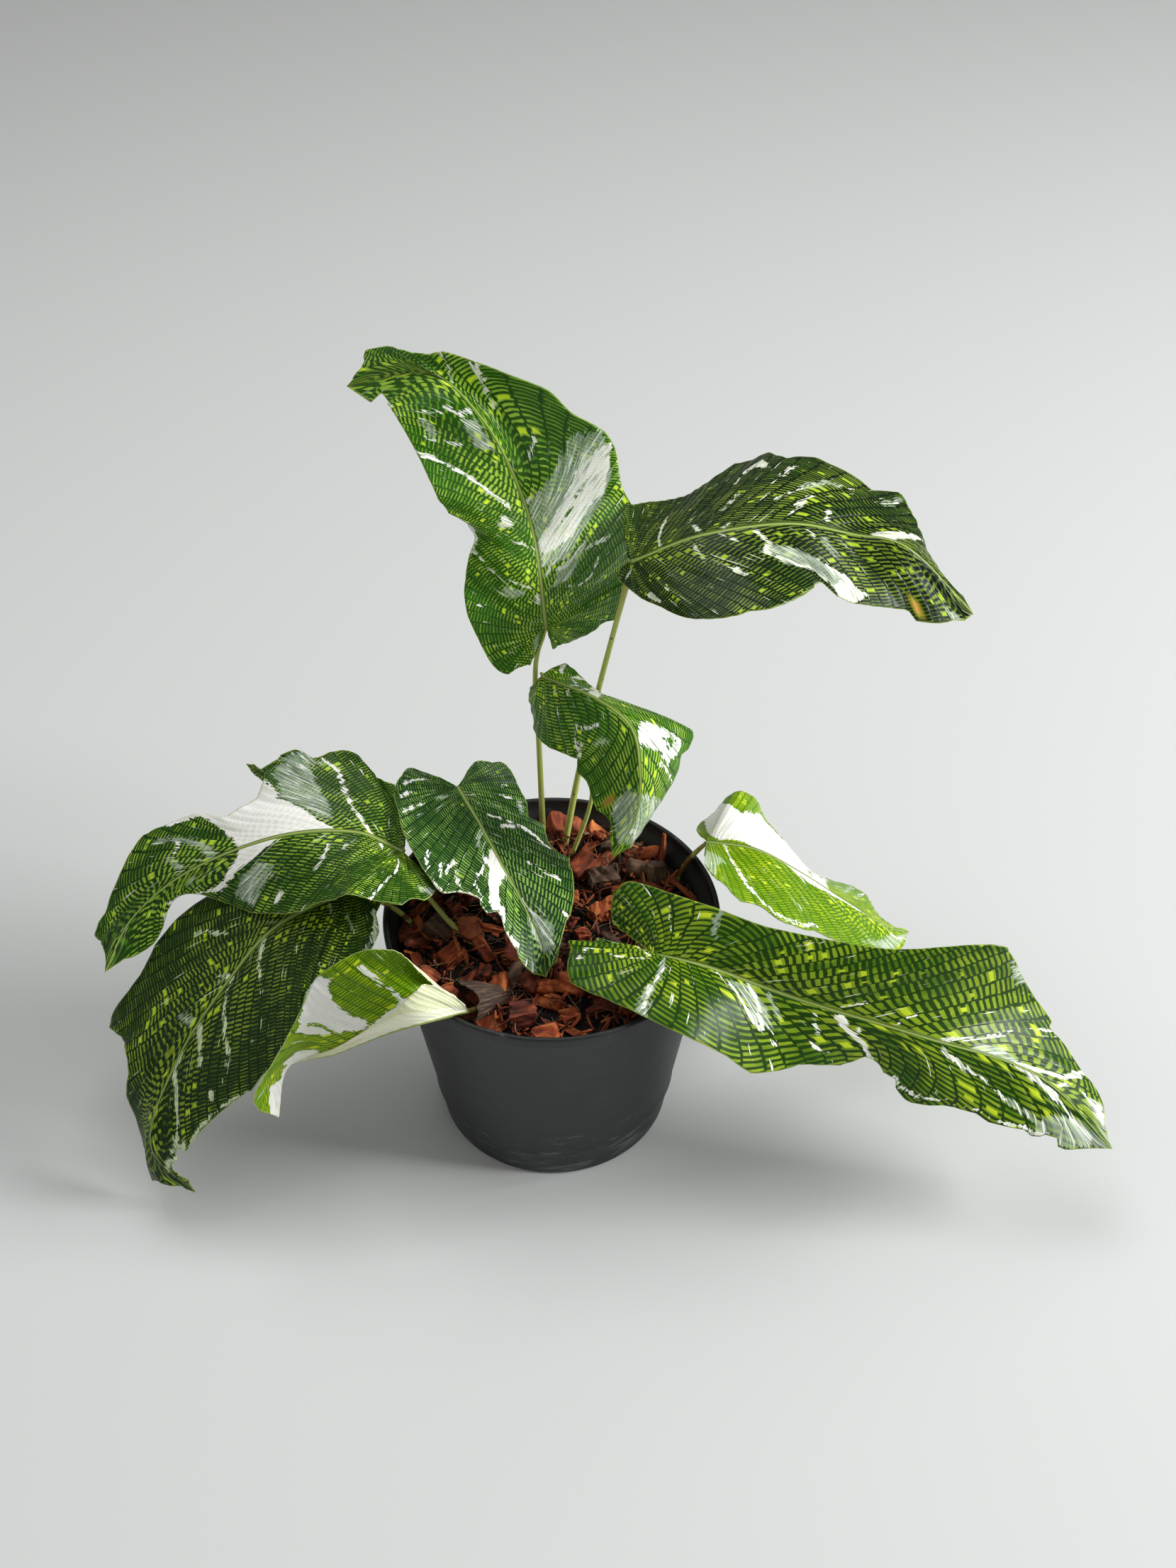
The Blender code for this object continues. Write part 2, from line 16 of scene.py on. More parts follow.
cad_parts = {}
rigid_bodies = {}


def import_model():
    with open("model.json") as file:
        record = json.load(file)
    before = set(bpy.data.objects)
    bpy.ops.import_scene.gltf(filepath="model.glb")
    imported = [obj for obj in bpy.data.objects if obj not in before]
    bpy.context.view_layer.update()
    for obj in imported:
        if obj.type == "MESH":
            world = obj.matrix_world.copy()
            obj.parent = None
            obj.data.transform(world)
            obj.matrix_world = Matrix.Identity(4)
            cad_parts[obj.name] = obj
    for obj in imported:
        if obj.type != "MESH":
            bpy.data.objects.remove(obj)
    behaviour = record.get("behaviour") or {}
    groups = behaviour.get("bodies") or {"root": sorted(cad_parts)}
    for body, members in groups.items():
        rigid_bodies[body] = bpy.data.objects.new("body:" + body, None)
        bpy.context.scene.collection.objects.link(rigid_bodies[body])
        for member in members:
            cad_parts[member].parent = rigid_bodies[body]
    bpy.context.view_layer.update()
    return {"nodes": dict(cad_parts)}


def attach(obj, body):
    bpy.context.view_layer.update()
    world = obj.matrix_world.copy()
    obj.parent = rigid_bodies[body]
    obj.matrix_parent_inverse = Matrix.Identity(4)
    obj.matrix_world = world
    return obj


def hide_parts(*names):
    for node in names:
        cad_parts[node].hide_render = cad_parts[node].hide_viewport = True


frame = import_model()

MM = 0.001
BODY = "root"

# Camera: a phone held above the plant, looking down at it
EYE = (0.0161, -0.5831, 0.7238)
LOOK_DOWN = 0.735              # radians below level
LENS = 43.27                   # mm, on a 36 mm frame height

# Pot, as in the frame
POT_HEIGHT = 121 * MM
RIM_RADIUS = 75 * MM
RIM_DEPTH = 6.8 * MM
BASE_RADIUS = 53.4 * MM
SHOULDER_RADIUS = 71 * MM
WALL = 1.6 * MM
FLOOR = 2.4 * MM
FOOT_STEP_HEIGHT = 18 * MM
FOOT_STEP = 0.7 * MM
DRAIN_HOLES = 6
DRAIN_RADIUS = 4 * MM
DRAIN_CIRCLE = 34 * MM
MIX_TOP = 108 * MM
GAP = 0.3 * MM

# Blades
LANE = 5 * MM                  # between two side veins, as the net is drawn; each leaf scales it to its own
VEIN_SLANT = 0.1               # how far a side vein leans back at the midrib, as a share of the blade
BAR_SQUARE = 0.8               # 1 would set every bar square to its side veins
ROWS_PER_LANE = 5              # rows of points between two side veins
COLUMNS = 24                   # from midrib to edge
BLADE_THICK = 0.5 * MM
EDGE_THICK = 0.3 * MM
VEIN_ROOT = (0.0, 0.0, 0.01, 0.06, 0.18, 0.38, 0.61, 0.82, 1.0)     # where they leave it on most leaves
VEIN_SWEEP = 1.6               # how strongly they curve towards the tip
RIB_WIDTH = (1.25 * MM, 0.35 * MM)     # half the midrib's pale stripe, at the notch and at the tip
RIB_DEPTH = (1.3 * MM, 0.2 * MM)       # how far the midrib stands out underneath
PLEAT = 0.2 * MM               # height of the swelling between two side veins
STEM_TIP_SHARE = 0.62          # a stem's radius at the blade, as a share of that at its foot
STEM_FOOT = 9                  # millimetres that it reaches down into the mix

# Each leaf, in millimetres: points along its midrib from notch to tip, along both edges between those ends,
# and along its stem from the mix up, and the stem's radius. Then the arch of its left and right half as a
# share of their width, the width of a lane of its net, and how strongly its edge ruffles. A row of veins gives
# the shares along the midrib at which its side veins leave it, where they don't leave it as on most leaves.
LEAVES = """
leaf_tall
midrib -2 67 227, -6 64 275, -13 48 317, -24 38 349, -44 53 359, -80 80 338
left -11 56 213, -25 55 217, -36 59 251, -30 52 286, -41 31 317, -53 35 348, -61 53 347
right 4 72 212, 27 85 221, 36 97 242, 31 84 289, 20 47 339, -45 56 366, -68 75 357
stem -5 59 108, -6 61 165, -7 65 206 radius 1.6 arch 0.02 0.02 lane 4.8 ruffle 1
leaf_high_right
midrib 34 56 270, 62 56 283, 98 60 286, 126 67 276, 149 61 273, 179 56 243
left 31 73 276, 35 87 276, 55 100 273, 77 109 280, 108 112 288, 154 97 271, 162 74 259
right 27 52 266, 42 33 265, 61 16 270, 91 20 274, 112 38 271, 132 40 258, 161 47 245
stem 5 54 108, 12 58 152, 21 61 199 radius 1.8 arch 0.02 0.01 lane 4.6 ruffle 0.8
leaf_arched
midrib -4 53 212, 19 37 213, 34 23 209, 38 12 196, 37 9 171, 27 6 148
left 2 60 209, 6 63 209, 23 57 198, 47 45 190, 62 41 190, 54 28 174, 38 15 152
right -9 58 199, -8 53 188, -1 39 186, 12 22 191, 12 22 193, 18 17 178, 25 11 165
stem 7 43 108, 18 46 150, 11 50 186 radius 1.2 arch 0.05 0.05 lane 4.6 ruffle 0.6
leaf_white_sector
midrib -65 10 148, -86 14 156, -120 13 154, -160 10 136, -187 2 115, -199 -17 99
left -51 -10 145, -64 -24 151, -87 -25 156, -108 -23 144, -130 -8 127, -165 6 123, -179 -3 104
right -67 30 158, -80 44 166, -91 51 169, -122 44 165, -140 28 154, -180 32 139, -204 5 103
stem -36 -7 108, -47 -1 117, -60 7 133 radius 1.5 arch 0.02 0.03 lane 4.3 ruffle 1
leaf_low_left
midrib -87 -1 135, -120 -12 124, -142 -26 104, -165 -46 75, -178 -70 45, -162 -73 13
left -72 1 138, -80 -26 120, -105 -38 111, -110 -51 97, -130 -61 77, -155 -73 56, -167 -75 39
right -85 9 140, -98 19 141, -121 22 138, -164 9 116, -195 -23 75, -188 -44 65, -182 -68 18
stem -61 1 108, -67 1 118, -76 0 127 radius 1.5 arch 0.03 0.04 lane 4.8 ruffle 1.2
leaf_centre
midrib -43 50 150, -32 29 146, -22 9 141, -12 -10 135, -4 -26 127, -2 -38 119
left -35 63 153, -22 67 147, -13 57 137, -4 39 134, 7 17 134, 9 -7 135, 5 -27 129
right -61 53 158, -69 42 163, -68 24 160, -60 4 154, -47 -13 148, -28 -22 147, -12 -36 127
stem -30 32 108, -37 42 130 radius 1.4 arch 0.02 0 lane 4.2 ruffle 0.8
leaf_cream_young
midrib -35 -57 119, -51 -70 127, -69 -70 119, -91 -65 101, -114 -57 82, -120 -66 58
left -39 -60 127, -44 -63 138, -51 -67 147, -58 -71 142, -70 -70 128, -92 -65 104, -116 -56 82
right -41 -57 128, -50 -59 140, -58 -57 151, -74 -52 152, -96 -54 138, -105 -59 120, -126 -74 82
stem -23 -43 108, -28 -49 113 radius 1.6 arch -0.04 -0.03 lane 4 ruffle 0.6
leaf_long_right
midrib 43 -33 129, 69 -39 126, 109 -49 116, 160 -56 101, 212 -59 79, 247 -75 48
left 28 -19 135, 34 -8 146, 79 -24 143, 140 -38 138, 190 -33 132, 216 -26 92, 243 -53 61
right 12 -28 132, 14 -48 130, 56 -72 124, 101 -66 92, 139 -59 90, 159 -69 71, 211 -75 56
stem 6 -35 108, 15 -36 116, 29 -35 123 radius 1.8 arch 0.03 0.04 lane 7.6 ruffle 1.2
veins 0 0.005 0.045 0.125 0.265 0.45 0.645 0.835 1
leaf_lime_right
midrib 70 34 131, 92 32 128, 113 33 113, 136 29 97, 157 29 80, 171 44 61
left 66 47 126, 71 60 121, 87 72 127, 100 73 111, 124 61 84, 146 53 80, 154 41 77
right 69 21 137, 69 9 140, 80 -2 134, 106 -4 118, 124 0 104, 150 7 80, 165 28 64
stem 57 32 108, 61 32 119, 66 33 126 radius 1.4 arch 0.02 0.03 lane 4.4 ruffle 0.8
leaf_back_left
midrib -85 50 132, -97 54 140, -110 56 144, -123 64 142, -134 72 138, -146 86 132
left -84 43 128, -94 43 130, -106 45 130, -118 52 130, -127 60 132, -134 68 134, -141 76 134
right -90 54 146, -100 60 152, -113 66 152, -120 71 152, -128 72 147, -135 73 141, -141 81 136
stem -48 30 108, -60 38 123, -72 44 130 radius 1.1 arch 0.03 0.03 lane 4.4 ruffle 0.5
"""

# The green of each leaf. The skin of the tall and arched leaves is brightened as painted light, the glow of
# light through them; that of the high right leaf is darkened as painted shade; that of the low left leaf is
# darkened, with greyed white, as painted shade over its own olive tone.
GREENS = {"leaf_tall": "bright", "leaf_high_right": "shaded", "leaf_arched": "bright", "leaf_white_sector":
          "deep", "leaf_low_left": "olive", "leaf_centre": "blue", "leaf_cream_young": "young",
          "leaf_long_right": "ladder", "leaf_lime_right": "lime", "leaf_back_left": "deep"}

# How far each edge runs outside its drawn outline: the nicks, lobes and waves that a smooth curve leaves out.
# Pairs of the share along the edge, in thousandths, and the shift outward, in tenths of a millimetre. They were
# measured along the edges in the photo by a scratch program, not chosen by hand.
EDGE_SHIFTS = """
leaf_tall
left 0 0 58 67 117 -16 146 -27 171 -23 188 4 304 2 342 10 400 -6 450 11 496 1 512 27 567 60 604 18 633 4 683
  -1 729 14 804 20 858 12 912 -20 917 -10 925 33 929 33 1000 0
right 0 0 58 -58 67 47 121 -11 138 -14 158 4 200 -15 221 -5 229 16 233 66 258 40 292 19 304 -1 383 -6 467 8
  496 -13 550 -28 571 -24 617 4 646 -3 654 8 667 53 671 55 729 47 750 -7 787 -50 854 -8 883 19 900 11 921
  -15 942 -23 1000 0
leaf_high_right
left 0 0 194 27 224 68 239 28 254 12 307 16 380 -9 439 -50 463 -50 488 -9 498 22 502 51 561 51 566 46 590
  -25 610 -67 615 -69 645 -28 682 -28 712 -69 727 31 732 31 751 -16 776 -59 805 -76 835 -30 1000 0
right 0 0 44 -61 74 -24 150 -1 224 1 288 -23 351 -1 434 1 459 -7 478 12 566 8 600 -2 610 -17 634 -25 639 54
  659 54 741 -1 820 -39 829 -36 839 2 932 -1 966 18 1000 0
leaf_arched
left 0 0 81 -63 111 -25 133 28 163 70 259 17 326 -1 370 -3 393 -21 430 -8 637 5 674 -1 681 -7 696 -42 704
  -42 734 -17 829 -9 859 -23 889 -2 896 41 911 37 941 11 956 18 1000 0
right 0 0 59 54 104 26 156 25 185 13 215 26 237 14 289 23 519 -1 570 15 637 11 681 47 719 17 822 25 837 8
  874 -9 919 4 1000 0
leaf_white_sector
left 0 0 68 25 98 61 107 30 120 17 182 13 200 -3 222 -1 244 24 279 9 686 -7 716 -17 880 6 933 2 951 -9 1000
  0
right 0 0 108 28 138 70 209 -19 280 -67 329 -37 333 -32 338 -3 382 20 409 18 431 -4 440 -4 444 54 449 75 471
  75 484 52 516 56 524 19 542 -1 573 -7 604 5 622 1 653 -24 658 -24 662 20 680 32 733 -12 756 3 760 14 813 6
  827 17 849 14 858 43 871 43 876 41 907 -26 933 -46 964 -40 1000 0
leaf_low_left
left 0 0 161 -12 191 -31 209 9 324 8 351 -2 409 -57 444 21 449 21 462 -8 471 -17 493 -27 502 -5 511 -5 520 7
  524 59 538 59 572 24 601 12 631 30 636 21 689 2 742 1 787 10 796 19 818 18 822 16 827 -5 836 -15 858 -12
  871 5 884 -4 889 -18 916 -29 920 -53 942 -35 947 47 956 45 1000 0
right 0 0 397 -32 427 -79 440 -62 453 -69 489 -47 547 5 569 -21 578 -21 591 7 600 52 604 63 613 71 631 59
  644 24 667 -13 693 -24 756 13 778 54 808 22 837 22 867 54 871 47 893 -30 911 -74 942 -74 969 -24 973 -2
  1000 0
leaf_centre
left 0 0 45 39 77 13 129 7 181 -11 200 -13 219 13 245 15 394 -1 452 -36 458 -36 471 26 561 -35 574 -28 587
  -7 600 28 632 2 645 1 735 9 794 4 813 -9 877 -7 935 12 955 1 1000 0
right 0 0 80 11 123 33 187 -4 232 -15 314 -2 589 7 626 17 639 13 671 -20 723 -22 729 -21 742 4 761 14 768 9
  774 -52 787 -46 813 -14 852 -12 858 1 877 6 942 10 1000 0
leaf_long_right
left 0 0 53 25 83 62 111 31 178 4 206 9 211 -4 222 -4 256 13 306 4 356 8 406 -17 552 -4 633 35 644 16 694
  -11 783 -5 789 -47 794 -50 806 -34 850 -32 861 -1 883 12 900 3 944 -51 950 -51 967 -21 1000 0
right 0 0 67 49 100 -36 122 -48 133 -30 144 19 156 17 167 1 183 -2 200 7 256 64 291 24 426 24 456 59 517 -23
  533 -17 572 24 589 20 611 -4 661 20 689 -7 694 -7 706 11 733 12 744 7 761 -20 772 -49 783 -57 806 -57 822
  -30 861 -24 872 -2 883 -7 889 -22 906 -20 911 19 922 27 1000 0
leaf_lime_right
right 0 0 263 2 297 7 349 -15 394 13 429 -23 440 -22 451 -16 469 19 480 24 549 7 594 -16 630 -6 861 -8 909
  -31 1000 0
"""

# Marks on the leaves. Each is the half it lies on, its width in millimetres, and its line as pairs of the
# share along the edge, in thousandths, and the share out from the midrib, in hundredths. Width 0 is a filled
# outline.
# White, where the green layer never formed
WHITE = """
leaf_tall
left 1.7  700 100 695 80 680 60 655 40 630 27 610 20
left 0.5  447 47 437 15
left 0  578 40 572 27 580 26 605 33 600 38
left 0  390 11 380 4 415 4 415 9
left 0.9  540 35 537 22 520 4
left 0  450 100 490 96 530 89 560 93 555 100
left 0.8  366 84 363 77
left 0.8  460 96 456 84
left 0.6  450 78 447 67
left 0.9  730 80 725 45
left 1.6  783 35 772 24 770 9
left 0.9  784 64 778 47
left 1.4  820 100 850 97
left 1  187 100 178 89
right 1.1  455 3 475 13 485 20
right 1.3  460 16 455 27 470 38 475 49
right 0  505 4 505 38 525 55 540 69 535 80 560 86 590 95 600 99 612 82 610 60 590 40 565 25 545 12 530 4
right 0.8  400 27 390 38 395 49 417 55 428 60
right 0.8  461 49 455 64 450 75
right 0.8  750 69 740 82 730 98
right 0.5  667 33 669 55
right 0.6  708 60 711 98
leaf_high_right
left 1.6  385 60 383 33 389 20 400 7
left 0  567 89 550 80 544 60 552 71 567 78 589 79 594 84
left 1.2  628 82 622 64
left 0.8  561 44 540 27
left 0.9  703 80 667 60 639 40 622 29
left 0.8  667 40 647 11
left 0.6  698 27 698 11
left 0  833 85 817 60 806 40 787 24 767 9 767 0 800 0 811 20 822 40 831 64
left 0.8  490 18 505 4
left 0.8  560 11 545 2
right 1.4  191 36 178 51 172 75
right 0  289 66 262 76 250 84 267 88 300 87 305 80
right 0.9  366 45 361 55
right 0.8  486 5 487 33
right 1.9  517 46 520 57
right 1.1  540 5 556 16
right 1.2  590 7 600 27 585 40 600 55 615 68 640 78 655 86 660 95
right 0  656 38 667 55 700 64 720 73 735 82 756 86 733 93 710 100 640 100 650 89 675 80 690 70 670 60
right 0.9  668 9 673 20
leaf_arched
left 2  228 100 250 80 272 60 290 54
left 1.4  317 100 322 70 333 60
left 3.2  356 100 383 80 422 60 472 40 511 20 536 0
left 0.7  333 60 389 40 444 20 450 0
left 0.7  440 40 478 22 494 0
left 0  700 87 667 80 656 60 650 40 639 20 656 9 680 2 694 20 702 40 728 60 711 73
left 0.9  764 100 739 64 728 40
left 1.6  900 70 895 40 900 20 905 5
right 0  589 33 564 42 533 51 531 56 567 51 589 40
right 1.1  506 51 497 75
right 0  510 78 500 82 550 83 580 76 540 74
right 2.2  500 84 600 91
right 0.8  450 2 455 10
right 0.8  420 35 430 50
right 1  395 12 390 16
leaf_white_sector
right 2.2  665 100 700 98 725 97
left 1  317 100 306 80 287 60 267 50
left 1.9  262 50 250 40 239 31 247 22
left 1.1  522 49 518 40 514 20
left 1.8  578 85 580 74
left 1.2  360 13 378 7
left 1  478 23 472 18
left 0  728 100 718 95 689 80 680 60 672 40 639 20 600 0 669 0 678 20 689 40 694 60 702 80
left 1.3  767 100 794 80 809 60
left 0.8  824 100 822 73
right 2  415 1 430 7 440 13
right 1.1  440 13 450 31 444 49 436 67 422 82 426 98
right 0  500 0 522 9 536 20 542 38 550 60 556 75 539 91 533 100 672 100 676 75 673 45 672 16 669 0
right 1.3  755 40 745 48 739 56
right 0.9  356 16 344 33
right 1  375 75 372 82
right 1.8  725 93 710 100
leaf_low_left
left 0.8  190 96 185 88 220 85
left 0.7  122 100 144 80 156 67
left 1.2  361 82 375 77
left 1  485 36 486 29
left 0.5  578 42 563 15
left 1.4  563 15 539 2
left 0.8  669 71 662 60 660 40 644 18 633 9 611 3
left 1.3  704 85 707 73
left 1.6  711 40 700 20 689 4
left 1.7  733 2 756 5 767 20 783 40 796 60 828 80
left 0  800 100 794 89 828 80 844 85 861 80 861 93 844 100
left 1.6  867 100 894 80 909 60 917 40 922 20
left 0.5  640 99 700 98 780 99
right 1.6  367 49 322 60 289 75 272 85 250 100
right 1.8  476 25 453 38
right 0  494 75 472 82 439 93 417 100 489 100 487 85
right 1.2  614 4 617 15
right 0.7  552 35 547 67
right 0.7  233 75 217 98
leaf_centre
right 0.5  600 100 650 100 700 100 750 100 800 100 850 100
left 1.6  578 89 553 80 528 64
left 1  528 64 506 40 500 20
left 1.4  533 56 540 40 545 30
left 1.2  389 72 375 58
left 0.9  323 80 325 70
left 0.7  372 20 367 6
left 0.7  702 80 689 60 667 42
left 0.9  892 75 870 40 867 20
left 1.1  861 29 822 15 767 1
left 1.4  806 100 794 89
right 1  639 18 667 40 676 60 694 75 717 86 733 98
right 0  611 0 628 9 644 18 667 27 689 38 706 51 722 64 739 75 767 87 800 100 802 93 789 80 767 64 750 51
  728 38 711 20 706 9 694 0
right 1.2  183 60 200 67 278 89
right 1.3  311 76 328 91
right 0.7  380 60 386 80 392 93
right 1.3  598 60 602 75
right 1.1  620 65 660 85
right 1.2  530 82 550 93
right 1  575 75 600 86
right 1.4  847 89 817 100
leaf_cream_young
left 0  -100 110 -100 -10 660 -10 650 40 700 70 720 110
left 0  800 110 800 -10 1100 -10 1100 110
right 0  -100 -10 -100 110 200 110 270 60 330 45 410 47 530 30 620 14 630 -10
right 0  620 14 610 20 640 40 650 60 640 78 610 88 650 110 730 110 770 82 765 55 720 35 670 22
right 0  760 -10 760 12 800 40 830 48 840 25 890 12 890 50 950 75 1100 80 1100 -10
right 1  525 32 540 60 548 85
leaf_long_right
right 1  575 4 582 17
right 1  600 24 598 38
right 0.6  775 93 838 95 898 94
left 0.9  295 79 283 62 265 40
left 1.5  792 100 790 77 775 56 768 36 748 18 720 8 702 0
left 2  850 100 858 70 860 57 860 37 845 19 832 8 808 2
left 0  932 99 900 87 910 77 885 57 930 70 965 86 955 100
left 0.8  598 21 570 5
left 0.9  658 21 642 4
left 0.7  875 46 872 10
right 0  180 26 165 27 182 31 195 28
right 1.3  205 33 200 45 195 65 170 77 173 90 205 92
right 1.2  173 26 125 31 115 39 48 58
right 1.2  270 28 285 45 305 66 335 100
right 1.1  368 5 410 15 430 28 465 55 488 68
right 1.3  438 2 460 25 470 54
right 1.6  535 64 555 76
right 1.2  542 15 542 30 548 47
right 2  572 13 585 31 608 60 612 77 622 100
right 1.5  708 8 722 17 750 27 788 39 820 54
right 1.8  802 1 845 8 880 18 928 33 960 52
right 0  862 4 850 8 862 17 880 15 880 6
right 1.2  772 82 753 87 710 95 680 100
leaf_lime_right
left 0  240 110 230 45 260 18 350 4 450 8 560 -10 690 -10 680 60 620 110
right 1.4  372 0 383 9 394 27 411 45 428 75 456 91 500 96 567 95 606 91
right 0  560 -10 580 3 600 10 650 15 700 10 800 1 800 -10
right 1.2  860 30 880 45 910 55
leaf_back_left
left 0.8  400 90 450 40
right 0.9  600 10 620 70
"""

# Milky, where the green shows through a thin white layer, and painted sheen where the waxy skin catches the
# light
MILKY_AND_SHEEN = """
leaf_tall
left 0  405 55 402 40 420 24 428 27 430 53
left 0  572 47 567 40 583 37 587 45
left 0  735 78 730 70 755 64 770 68 765 78
left 0  720 30 710 10 760 8 765 28
left 4  110 60 150 40 200 20
right 0  480 2 470 30 500 50 520 70 550 90 620 100 640 85 640 60 630 35 620 10 620 2
right 0  420 10 420 30 450 40 480 55 460 20
leaf_high_right
left 1.6  740 95 735 72
left 2.5  680 72 655 50
right 0  600 30 580 38 595 55 610 70 640 80 660 90 700 82 690 70 660 50
right 2.2  920 73 925 82
right 2.5  930 90 955 98
right 2  690 20 700 40
leaf_arched
left 0  800 100 800 0 950 0 930 50 900 100
right 0  800 -10 780 30 810 60 860 85 920 70 950 30 950 -10
right 2.2  640 45 630 60
leaf_white_sector
left 0  670 85 630 92 620 60 610 40 640 30 665 50
left 2  750 56 748 38
left 3  140 100 170 85
right 0  506 16 494 38 478 64 456 82 433 93 444 98 500 96 555 75 545 55 530 27
right 2.4  711 5 715 27 733 56 756 75
right 1.8  767 9 767 40
leaf_low_left
left 2  190 88 230 92 270 95
left 1.3  276 56 291 40 302 27
left 1.6  370 20 375 5
right 0  489 47 433 60 411 82 389 100 439 93 489 75
right 1.8  690 10 680 30
leaf_centre
left 0  840 70 830 40 800 10 860 -10 930 -10 920 40 900 75
left 2  400 85 450 88
right 2.2  360 24 367 40
right 2.4  915 76 925 93
right 0  780 -10 830 10 860 20 920 10 920 -10
right 1.6  560 3 600 20
leaf_long_right
right 0  378 12 422 16 462 45 485 53 475 26 448 5
left 0  750 10 730 -10 840 -10 800 10 785 20
left 0  668 100 668 96 718 92 720 100
left 0  900 100 895 58 968 39 1000 0 1000 0
left 1.8  360 99 355 67 358 54
right 2.6  220 11 288 45 312 74 332 100
right 1.8  473 9 495 33
right 2.4  820 54 865 72 888 77
right 0  925 18 875 58 870 100 1000 0 1000 0
leaf_lime_right
right 0  230 50 150 80 200 110 300 97 330 60 380 45
right 0  720 80 800 60 850 35 950 40 970 70 900 75
left 1.6  730 90 730 30
left 1.6  770 90 760 50
"""

# Dead, scorched spots
SCORCH = """
leaf_high_right
right 1.6  842 78 845 86
leaf_arched
right 1.8  800 66 803 72
"""

# Green that lies inside a white part
KEPT_GREEN = """
leaf_tall
right 1.2  550 30 560 45
right 0.7  575 50 585 66
leaf_arched
left 1.2  675 68 672 45
left 0.8  690 62 685 50
leaf_cream_young
right 1.6  700 30 720 50 745 66
right 1  720 25 750 45 770 60
right 0.6  780 30 790 60
leaf_lime_right
left 0  300 110 333 80 378 64 422 56 456 67 483 80 483 110
left 0.9  632 75 645 40 650 10
left 0.7  665 80 668 50
"""


def read_rows(text):
    """The rows of a table above: for each leaf, a list of (name of the row, its numbers)."""
    table = {}
    for word in text.replace(",", " ").split():
        if word.startswith("leaf_"):
            rows = table[word] = []
        elif word.isalpha():
            rows.append((word, []))
        else:
            rows[-1][1].append(float(word))
    return table


def read_marks(text):
    """For each leaf, its marks as (half, width in millimetres, [(share along the edge, share out), ...])."""
    return {leaf: [(half, n[0], [(m / 1000, v / 100) for m, v in zip(n[1::2], n[2::2])]) for half, n in rows]
            for leaf, rows in read_rows(text).items()}


POINT_ROWS = ("midrib", "left", "right", "stem")
LEAVES = {leaf: {row: np.reshape(n, (-1, 3)) if row in POINT_ROWS else n for row, n in rows}
          for leaf, rows in read_rows(LEAVES).items()}
EDGE_SHIFTS = {leaf: {half: (np.array(n[::2]) / 1000, np.array(n[1::2]) / 10) for half, n in rows}
               for leaf, rows in read_rows(EDGE_SHIFTS).items()}
WHITE, MILKY_AND_SHEEN, SCORCH, KEPT_GREEN = (read_marks(text) for text in (WHITE, MILKY_AND_SHEEN, SCORCH, KEPT_GREEN))


# Colour and nodes

def srgb(code):
    """Linear RGBA from an sRGB hex value."""
    parts = [int(code[i:i + 2], 16) / 255 for i in (1, 3, 5)]
    return (*(p / 12.92 if p <= 0.04045 else ((p + 0.055) / 1.055) ** 2.4 for p in parts), 1.0)


def feed(node, inputs):
    """Sets inputs of a node, named or in order, each to a value, an sRGB hex colour or what feeds it."""
    for name, value in inputs.items() if isinstance(inputs, dict) else enumerate(inputs):
        if isinstance(value, bpy.types.Node):
            value = next(o for o in value.outputs if o.enabled)
        if isinstance(value, bpy.types.NodeSocket):
            node.id_data.links.new(value, node.inputs[name])
        else:
            node.inputs[name].default_value = srgb(value) if isinstance(value, str) else value


def add_node(tree, kind, inputs=(), stops=(), **settings):
    """Adds a shader node of a kind, with its operation after a space, its inputs, colour stops and settings.
    The inputs of MapRange are the value, the range it is read over and the range it is turned to."""
    kind, _, operation = kind.partition(" ")
    node = tree.nodes.new("ShaderNode" + kind)
    if operation:
        node.operation = operation
    for name, value in settings.items():
        setattr(node, name, value)
    for place, (at, code) in enumerate(stops):
        ramp = node.color_ramp.elements
        stop = ramp[place] if place < 2 else ramp.new(at)
        stop.position = at
        stop.color = srgb(code)
    feed(node, inputs)
    return node


def new_material(name):
    """A material, the function that adds nodes to it, and the shader of its skin."""
    material = bpy.data.materials.new(name)
    material.use_nodes = True
    tree = material.node_tree
    return material, partial(add_node, tree), tree.nodes["Principled BSDF"]


# Shape helpers

def along(keys, shares):
    """Points at shares (0 to 1) of an even Catmull-Rom curve through the keys."""
    keys = np.array(keys, dtype=float)
    keys = np.concatenate([2 * keys[:1] - keys[1:2], keys, 2 * keys[-1:] - keys[-2:-1]])
    spans = len(keys) - 3
    place = np.clip(shares, 0, 1) * spans
    i = np.minimum(place.astype(int), spans - 1)
    f = (place - i).reshape(i.shape + (1,) * (keys.ndim - 1))
    a, b, c, d = keys[i], keys[i + 1], keys[i + 2], keys[i + 3]
    return b + 0.5 * f * (c - a + f * (2 * a - 5 * b + 4 * c - d + f * (3 * (b - c) + d - a)))


def unit(v):
    return v / np.maximum(np.linalg.norm(v, axis=-1, keepdims=True), 1e-12)


def ease(low, high, x):
    t = np.clip((x - low) / (high - low), 0, 1)
    return t * t * (3 - 2 * t)


